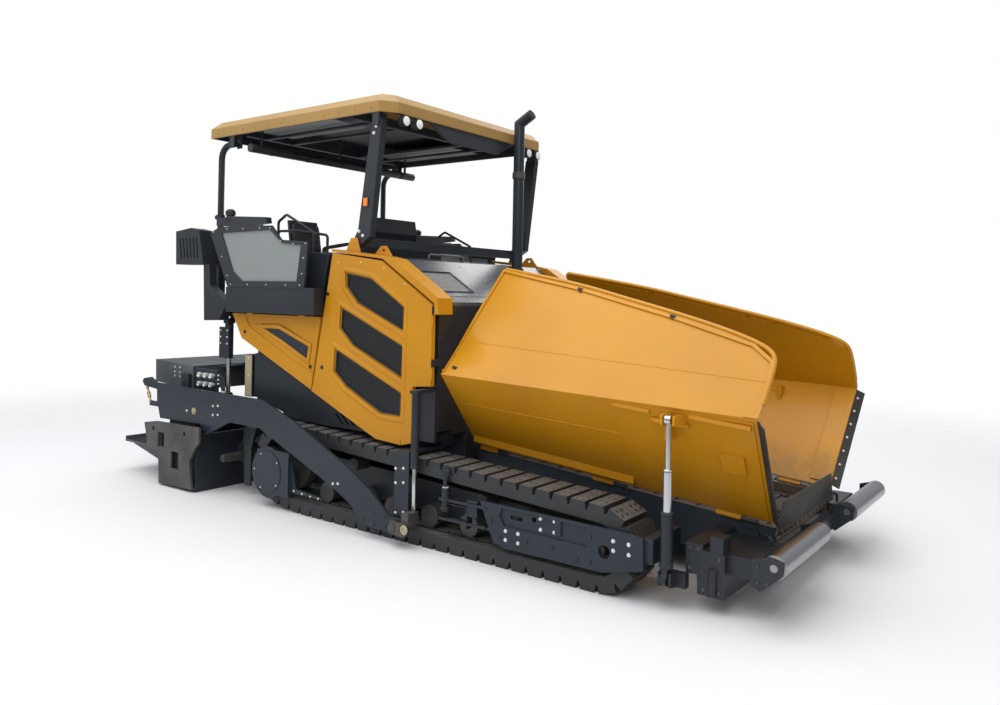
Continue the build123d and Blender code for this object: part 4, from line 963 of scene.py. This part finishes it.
# Screed: cover bolts, the wear strips that guide it, turnbuckles, and the walkway's grid
screed = {
    "cover": [(x, z) for x in (-2988, -2890) for z in (1157, 1203, 1257)], "coverY": 1400, "coverBolt": 10,
    "strip": [(-1813, 1240)], "stripY": 1286.6, "stripHalf": (0.055, 0.0013, 0.215),
    "stripBolts": [(-1813, z) for z in (1060, 1240, 1420)], "stripBoltY": 1288, "stripBolt": 9,
    "turnbuckle": [(0.010, 0), (0.016, 0.004), (0.016, 0.03), (0.010, 0.034), (0.010, 0.06), (0.019, 0.065),
                   (0.019, 0.13), (0.010, 0.135), (0.010, 0.165), (0.016, 0.17), (0.016, 0.196),
                   (0.010, 0.2)],
    "foot": (-3.190, 1.560, 0.850), "head": (-3.285, 1.560, 1.045),
    "lug": (-3.120, 1.560, 0.850), "lugHalf": (0.085, 0.010, 0.028),
    "slatX": -3.800 + 0.0335 * np.arange(27), "slatY": 1.49, "slatZ": 0.364, "slatHalf": (0.004, 0.005),
    "crossY": np.linspace(-1.48, 1.48, 31), "crossX": -3.800, "crossZ": 0.362, "crossLong": 0.885,
    "crossHalf": (0.003, 0.003),
    "screwY": np.linspace(-1.35, 1.35, 10), "screwX": -3.378, "screwZ": 1.200, "screw": 0.009}
studs("coverBolts", screed["cover"], screed["coverY"], screed["coverBolt"], "zinc", "screed", roundHead, 12)
places = sidePoints(screed["strip"], screed["stripY"])[0]
boxes("wearStrips", places, screed["stripHalf"], "tan", "machine", bevel=0)
studs("wearBolts", screed["stripBolts"], screed["stripBoltY"], screed["stripBolt"], "zinc", "machine",
      roundHead, 12)
for side, hand in hands:
    flip = np.array((1, side, 1))
    foot, head = screed["foot"] * flip, screed["head"] * flip
    turned("turnbuckle_" + hand, foot, head - foot, screed["turnbuckle"], "brass", "screed", 16)
    boxes("turnbuckleLug_" + hand, screed["lug"] * flip, screed["lugHalf"], "guard", "screed")
a = spread(screed["slatX"], -screed["slatY"], screed["slatZ"])
bars("walkwaySlats", a, a * (1, -1, 1), screed["slatHalf"], "steel", "screed")
a = spread(screed["crossX"], screed["crossY"], screed["crossZ"])
bars("walkwayCross", a, a + (screed["crossLong"], 0, 0), screed["crossHalf"], "steel", "screed")
a = spread(screed["screwX"], screed["screwY"], screed["screwZ"])
turned("coverScrews", a, (-1, 0, 0), roundHead(screed["screw"]), "zinc", "screed", 8)
print("screed done")

# Lid: fine mesh over the outlet, its rim, rail feet and screws; x and y are the outlet's limits
lid = {
    "x": (0.345, 0.610), "y": (-1.088, -0.600), "slope": -390 / 630, "from": (0.150, 2.450),
    "wire": (0.0014, 0.0014), "wireStep": 0.024, "crossStep": 0.020,
    "rim": [(0.33, -1.094), (0.33, -0.594), (0.625, -0.594), (0.625, -1.094)], "rimHalf": (0.011, 0.003),
    "rails": [(0.075, -0.614, 2.453), (0.075, -0.095, 2.453)], "railLean": (0.08, 0, 1),
    "railFoot": [(0.024, 0), (0.024, 0.006), (0.014, 0.012)],
    "screws": [(x, y) for x in (0.22, 0.66) for y in (-1.05, -0.3, 0.46)], "screw": 0.010,
    "square": (0.53, 0, 0.85)}


def slopeZ(x):
    # the hood's straight slope, in metres
    return lid["from"][1] + lid["slope"] * (np.asarray(x, float) - lid["from"][0])


(rear, front), (right, left) = lid["x"], lid["y"]
y = np.arange(right + lid["wireStep"] / 2, left, lid["wireStep"])
a, b = (spread(x, y, slopeZ(x) - 0.005) for x in (rear + 0.002, front - 0.002))
bars("outletWires", a, b, lid["wire"], "zinc", "hood_lid")
x = np.arange(rear + 0.012, front, lid["crossStep"])
a = spread(x, right, slopeZ(x) - 0.003)
bars("outletCross", a, a + (0, left - right, 0), lid["wire"], "zinc", "hood_lid")
a = np.array([(x, y, slopeZ(x) + 0.001) for x, y in lid["rim"]])
bars("outletRim", a, np.roll(a, -1, 0), lid["rimHalf"], "dark", "hood_lid")
turned("railFeet", lid["rails"], lid["railLean"], lid["railFoot"], "dark", "hood_lid", 16)
places = [(x, y, slopeZ(x)) for x, y in lid["screws"]]
turned("lidScrews", places, lid["square"], roundHead(lid["screw"]), "zinc", "hood_lid", 8)

# Exhaust: a band, a dark disc of painted shade in the mouth and the collar at the hood; screws along the
# ledge
stack = {
    "band": (0.235, 0.650, 3.400),
    "bandProfile": [(0.0585, 0), (0.069, 0.002), (0.069, 0.068), (0.0585, 0.07)],
    "mouth": (0.400, 0.650, 4.088), "mouthTurn": (0.871, 0, 0.490),
    "mouthProfile": [(0.050, 0.0), (0.050, 0.0012), (0.02, 0.0014)],
    "collar": (0.235, 0.650, 2.40), "collarProfile": [(0.072, -0.06), (0.072, 0.022), (0.0585, 0.03)],
    "ledge": [(-420, 2440), (-250, 2425), (-80, 2408), (90, 2395)], "ledgeY": 1345, "ledgeScrew": 8}
turned("stackBand", stack["band"], upward, stack["bandProfile"], "steel", "machine", 32)
# the dark disc over the open mouth is painted shade
turned("stackMouthShade", stack["mouth"], stack["mouthTurn"], stack["mouthProfile"], "rubber", "machine", 32)
turned("stackCollar", stack["collar"], upward, stack["collarProfile"], "dark", "machine", 32)
studs("ledgeScrews", stack["ledge"], stack["ledgeY"], stack["ledgeScrew"], "zinc", "machine", roundHead, 8)
print("hood done")

# Seats: places are given from each seat's middle; the back and the arm pads lean by their angles
lean, rise = np.radians(10), 0.1
seat = {
    "y": 0.750, "leanFrame": ((np.sin(lean), 0, -np.cos(lean)), (0, 1, 0), (np.cos(lean), 0, np.sin(lean))),
    "armFrame": ((np.cos(rise), 0, np.sin(rise)), (0, 1, 0), (-np.sin(rise), 0, np.cos(rise))),
    "shell": [(-1.28, 0, 1.945), (-1.28, 0, 2.285), (-1.29, 0, 2.330)],
    "shellHalves": [(0.200, 0.150, 0.015), (0.200, 0.150, 0.015), (0.255, 0.205, 0.018)],
    "backShell": (-1.607, 0, 2.660), "backHalf": (0.235, 0.200, 0.014),
    "bellows": (-1.28, 0, 1.960), "folds": 5, "foldRadius": (0.150, 0.014), "bellowsHeight": 0.310,
    "stands": [(-1.545, -0.232, 2.500), (-1.545, 0.232, 2.500)], "standHalf": (0.030, 0.012, 0.110),
    "cushion": (-1.275, 0, 2.382), "cushionHalf": (0.235, 0.198, 0.044), "cushionSeams": (-0.35, 0.3),
    "rest": (-1.570, 0, 2.662), "restHalf": (0.225, 0.192, 0.036), "restSeams": (-0.4, 0.1, 0.5),
    "pads": [(-1.345, -0.232, 2.632), (-1.345, 0.232, 2.632)], "padHalf": (0.225, 0.022, 0.020),
    "stick": (-0.960, 0.1, 2.645), "stickY": 0.32, "stickLean": (-0.25, 0, 1),
    "stickProfile": [(0.024, 0), (0.020, 0.015), (0.007, 0.022), (0.007, 0.095), (0.019, 0.105),
                     (0.022, 0.135), (0.016, 0.158), (0.006, 0.164)]}
turns = np.linspace(0, 2 * np.pi * seat["folds"], 8 * seat["folds"] + 1)
folds = np.stack([seat["foldRadius"][0] + seat["foldRadius"][1] * np.cos(turns),
                  turns / turns[-1] * seat["bellowsHeight"]], -1)
for side, hand in hands:
    mid = np.array((0, side * seat["y"], 0))
    shell = boxes("seatShell_" + hand, seat["shell"] + mid, seat["shellHalves"], "plastic", "machine",
                  bevel=0.008)
    back = boxes("seatBackShell_" + hand, seat["backShell"] + mid, seat["backHalf"], "plastic", "machine",
                 seat["leanFrame"], 0.010)
    at = seat["bellows"] + mid
    bellows = turned("seatBellows_" + hand, at, upward, folds, "rubber", "machine", 36, 60)
    stands = boxes("armStands_" + hand, seat["stands"] + mid, seat["standHalf"], "plastic", "machine",
                   bevel=0.005)
    base = cushions("seatCushion_" + hand, seat["cushion"] + mid, seat["cushionHalf"], "seat", "machine",
                    seams=seat["cushionSeams"])
    rest = cushions("seatBack_" + hand, seat["rest"] + mid, seat["restHalf"], "seat", "machine",
                    seat["leanFrame"], seat["restSeams"])
    pads = cushions("armPads_" + hand, seat["pads"] + mid, seat["padHalf"], "seat", "machine",
                    seat["armFrame"])
    for piece in (shell, back, bellows, stands, base, rest, pads):
        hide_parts("seats")
    at = seat["stick"] + np.array((0, side * seat["stickY"], 0))
    turned("stick_" + hand, at, seat["stickLean"], seat["stickProfile"], "plastic", "machine", 16)

# Console: knobs in two rows, lamps beside every third knob and a blank screen, all on its sloped face
panel = {
    "foot": (-1.000, 0, 2.760), "slope": np.radians(53), "rows": (0.03, 0.09),
    "columns": np.linspace(-0.46, 0.12, 8),
    "knob": [(0.014, -0.002), (0.014, 0.012), (0.010, 0.016)], "lampUp": 0.022,
    "lamp": [(0.006, -0.002), (0.006, 0.006), (0.003, 0.008)],
    "screenY": -0.17, "screenUp": 0.150, "screenHalf": (0.038, 0.11, 0.008)}
face = np.array((-np.sin(panel["slope"]), 0, np.cos(panel["slope"])))
runUp = np.array((np.cos(panel["slope"]), 0, np.sin(panel["slope"])))
rows, columns = (v.reshape(-1, 1) for v in np.meshgrid(panel["rows"], panel["columns"], indexing="ij"))
at = panel["foot"] + rows * runUp + columns * np.array((0, 1, 0))
turned("panelKnobs", at, face, panel["knob"], "plastic", "machine", 14)
turned("panelLamps", at[::3] + panel["lampUp"] * runUp, face, panel["lamp"], "orange", "machine", 10)
at = panel["foot"] + panel["screenUp"] * runUp + (0, panel["screenY"], 0)
boxes("panelScreen", at, panel["screenHalf"], "plastic", "machine", [runUp, (0, 1, 0), -face], 0.003)

# Side shields: screws round the pane, on the strip box below and on the slotted box behind, and a lamp on top
shield = {
    "pane": [(-2200, 2740), (-1960, 2766), (-1690, 2760), (-1420, 2757), (-1255, 2752), (-1090, 2618),
             (-900, 2590), (-720, 2588), (-745, 2450), (-765, 2300), (-790, 2190), (-1000, 2190),
             (-1300, 2190), (-1600, 2190), (-1880, 2190), (-1940, 2280), (-2040, 2480)],
    "paneY": 1480, "screw": 7, "strip": [(x, z) for x in range(-1900, -600, 205) for z in (1940, 2130)],
    "boxY": 1470,
    "lamp": [(-1960, 2890)], "lampY": 1440,
    "slotted": [(-2880, 2740), (-2500, 2750), (-2870, 2425), (-2420, 2425)], "slottedScrew": 8,
    "lampProfile": [(0.045, -0.03), (0.045, 0.0), (0.040, 0.02), (0.052, 0.022), (0.052, 0.060),
                    (0.030, 0.082), (0.010, 0.086)]}
studs("shieldScrews", shield["pane"], shield["paneY"], shield["screw"], "zinc", "machine", roundHead, 8)
studs("stripBoxScrews", shield["strip"], shield["boxY"], shield["screw"], "dark", "machine", roundHead, 8)
places = sidePoints(shield["lamp"], shield["lampY"])[0]
turned("shieldLamps", places, upward, shield["lampProfile"], "plastic", "machine", 24)
studs("slotBoxScrews", shield["slotted"], shield["boxY"], shield["slottedScrew"], "dark", "machine",
      roundHead, 8)
print("station done")

# Canopy: lamps, markers, bolts and pivot caps of the front posts, clamps of the rear posts
canopy = {
    "lampY": (0.906, 1.085), "lampZ": 3.722, "lensX": 0.190,
    "lens": [(0.043, -0.001), (0.043, 0.003), (0.036, 0.008), (0.015, 0.010)],
    "rimX": 0.172, "rim": [(0.0465, 0), (0.050, 0.003), (0.050, 0.016), (0.0462, 0.0185)],
    "marker": (-0.115, 1.291, 2.968), "markerHalf": (0.024, 0.009, 0.038),
    "markerBase": (-0.115, 1.284, 2.968), "baseHalf": (0.030, 0.003, 0.046),
    "bolts": ((-0.03, 3.60), (0.0, 3.66), (-0.2, 2.70), (-0.15, 2.66)), "postY": 1.282, "bolt": 0.014,
    "pivots": ((0.0, 3.705), (-0.245, 2.590)), "pivotCap": [(0.030, -0.001), (0.030, 0.0015)],
    "clamp": (-2.415, 1.246, 2.900),
    "clampProfile": [(0.036, 0), (0.046, 0.004), (0.046, 0.05), (0.036, 0.054)],
    "knob": (-2.458, 1.246, 2.927),
    "knobProfile": [(0.009, -0.01), (0.009, 0.010), (0.024, 0.014), (0.024, 0.034), (0.016, 0.040)],
    "ceiling": [(-1.405, -0.925, 3.852), (-1.405, 0.925, 3.852)], "ceilingHalf": (0.60, 0.32, 0.003),
    "rivetX": np.linspace(-2.4, -0.05, 12), "rivetY": (-1.307, 1.307), "rivetZ": 3.835, "rivet": 0.008,
    "ribX": (-2.40, -0.02), "ribY": np.array((-0.9, -0.3, 0.3, 0.9)), "ribZ": 3.968,
    "ribHalf": (0.022, 0.006),
    "strapX": -1.900, "strapY": np.array((-1.0, -0.5, 0.5, 1.0)), "strapZ": 3.640,
    "strap": [(0.0455, 0), (0.0475, 0.001), (0.0475, 0.029), (0.0455, 0.03)]}
for side, hand in hands:
    flip, out = np.array((1, side, 1)), (0, side, 0)
    lampY = side * np.array(canopy["lampY"])
    at = spread(canopy["lensX"], lampY, canopy["lampZ"])
    turned("lampLens_" + hand, at, (1, 0, 0), canopy["lens"], "lens", "canopy_roof", 28)
    at = spread(canopy["rimX"], lampY, canopy["lampZ"])
    turned("lampRim_" + hand, at, (1, 0, 0), canopy["rim"], "plastic", "canopy_roof", 28)
    boxes("marker_" + hand, canopy["marker"] * flip, canopy["markerHalf"], "orange", "canopy_front",
          bevel=0.005)
    boxes("markerBase_" + hand, canopy["markerBase"] * flip, canopy["baseHalf"], "plastic", "canopy_front")
    at = [(x, side * canopy["postY"], z) for x, z in canopy["bolts"]]
    turned("postBolts_" + hand, at, out, hexHead(canopy["bolt"]), "zinc", "canopy_front", 6, 25)
    at = [(x, side * canopy["postY"], z) for x, z in canopy["pivots"]]
    turned("pivotCaps_" + hand, at, out, canopy["pivotCap"], "steel", "canopy_front", 24)
    turned("postClamps_" + hand, canopy["clamp"] * flip, upward, canopy["clampProfile"], "dark",
           "canopy_rear", 24)
    turned("postKnobs_" + hand, canopy["knob"] * flip, (-1, 0, 0), canopy["knobProfile"], "plastic",
           "canopy_rear", 16)

# Roof: ceiling panels, rivets along its sides, ribs on top and the straps of the rolled awning
boxes("ceilingPanels", canopy["ceiling"], canopy["ceilingHalf"], "grey", "canopy_roof")
x, y = (v.ravel() for v in np.meshgrid(canopy["rivetX"], canopy["rivetY"], indexing="ij"))
at, out = spread(x, y, canopy["rivetZ"]), spread(0.0, np.sign(y), 0.0)
turned("roofRivets", at, out, roundHead(canopy["rivet"]), "gold", "canopy_roof", 8)
a, b = (spread(x, canopy["ribY"], canopy["ribZ"]) for x in canopy["ribX"])
bars("roofRibs", a, b, canopy["ribHalf"], "gold", "canopy_roof", bevel=0.003)
at = spread(canopy["strapX"], canopy["strapY"], canopy["strapZ"])
turned("awningStraps", at, (0, 1, 0), canopy["strap"], "rubber", "canopy_roof", 24)
print("canopy done")

# Floor: pale, and clear beyond the middle part
ground = {"half": 40.0, "tones": (0.78, 0.82), "rough": 0.75, "fade": (6.0, 13.0)}
far = ground["half"]
floorData = bpy.data.meshes.new("floor")
floorData.from_pydata([(-far, -far, 0), (far, -far, 0), (far, far, 0), (-far, far, 0)], [], [(0, 1, 2, 3)])
floor = bpy.data.objects.new("floor", floorData)
paint = Paint("paleFloor")
grain = paint.noise(0.6, 5)
darker, lighter = (rgb(tone, tone, tone) for tone in ground["tones"])
paint.feed(paint.shader.inputs["Base Color"], paint.mix(grain, darker, lighter))
paint.feed(paint.shader.inputs["Roughness"], ground["rough"] + grain * 0.15)
away = paint.math("SQRT", paint.x * paint.x + paint.y * paint.y)
paint.feed(paint.shader.inputs["Alpha"], 1.0 - away.ramp(*ground["fade"]))
floorData.materials.append(paint.material)
scene.collection.objects.link(floor)

# Lights: each has a place, a power and a size, and looks at the same point
aimAt = (0.0, 0.0, 1.4)
light = {
    "top": ((0.0, -3.0, 10.0), 850.0, 12.0),
    "key": ((5.5, -8.5, 6.0), 130.0, 4.0),
    "fill": ((-7.0, -7.5, 4.5), 60.0, 5.0),
    "rim": ((-2.0, 9.0, 7.0), 220.0, 6.0)}
for name, (place, power, size) in light.items():
    data = bpy.data.lights.new(name, "AREA")
    data.energy = power
    data.size = size
    made = bpy.data.objects.new(name, data)
    back = np.array(place) - aimAt
    back = back / np.linalg.norm(back)
    right = np.cross(upward, back)
    right /= np.linalg.norm(right)
    turn = np.eye(4)
    turn[:3, 0], turn[:3, 1], turn[:3, 2], turn[:3, 3] = right, np.cross(back, right), back, place
    made.matrix_world = Matrix(turn.tolist())
    scene.collection.objects.link(made)

# World: a soft studio that is brighter overhead than at its sides, and plain white where the camera sees it
studio = {"colour": (0.93, 0.96, 1.0, 1), "white": (1, 1, 1, 1), "heights": (-0.1, 1.0),
          "strengths": (0.30, 0.92)}
world = bpy.data.worlds.new("studio")
scene.world = world
world.use_nodes = True
tree = world.node_tree
soft = tree.nodes["Background"]
soft.inputs[0].default_value = studio["colour"]
height = tree.nodes.new("ShaderNodeMapRange")
for index, value in enumerate(studio["heights"] + studio["strengths"], 1):
    height.inputs[index].default_value = value
split = tree.nodes.new("ShaderNodeSeparateXYZ")
white = tree.nodes.new("ShaderNodeBackground")
white.inputs[0].default_value = studio["white"]
white.inputs[1].default_value = 1.0
seen = tree.nodes.new("ShaderNodeLightPath")
choose = tree.nodes.new("ShaderNodeMixShader")
for output, socket in (
        (tree.nodes.new("ShaderNodeTexCoord").outputs["Generated"], split.inputs[0]),
        (split.outputs[2], height.inputs[0]),
        (height.outputs[0], soft.inputs[1]),
        (seen.outputs["Is Camera Ray"], choose.inputs[0]),
        (soft.outputs[0], choose.inputs[1]),
        (white.outputs[0], choose.inputs[2]),
        (choose.outputs[0], tree.nodes["World Output"].inputs[0])):
    tree.links.new(output, socket)
scene.view_settings.view_transform = "Standard"
print("light done")
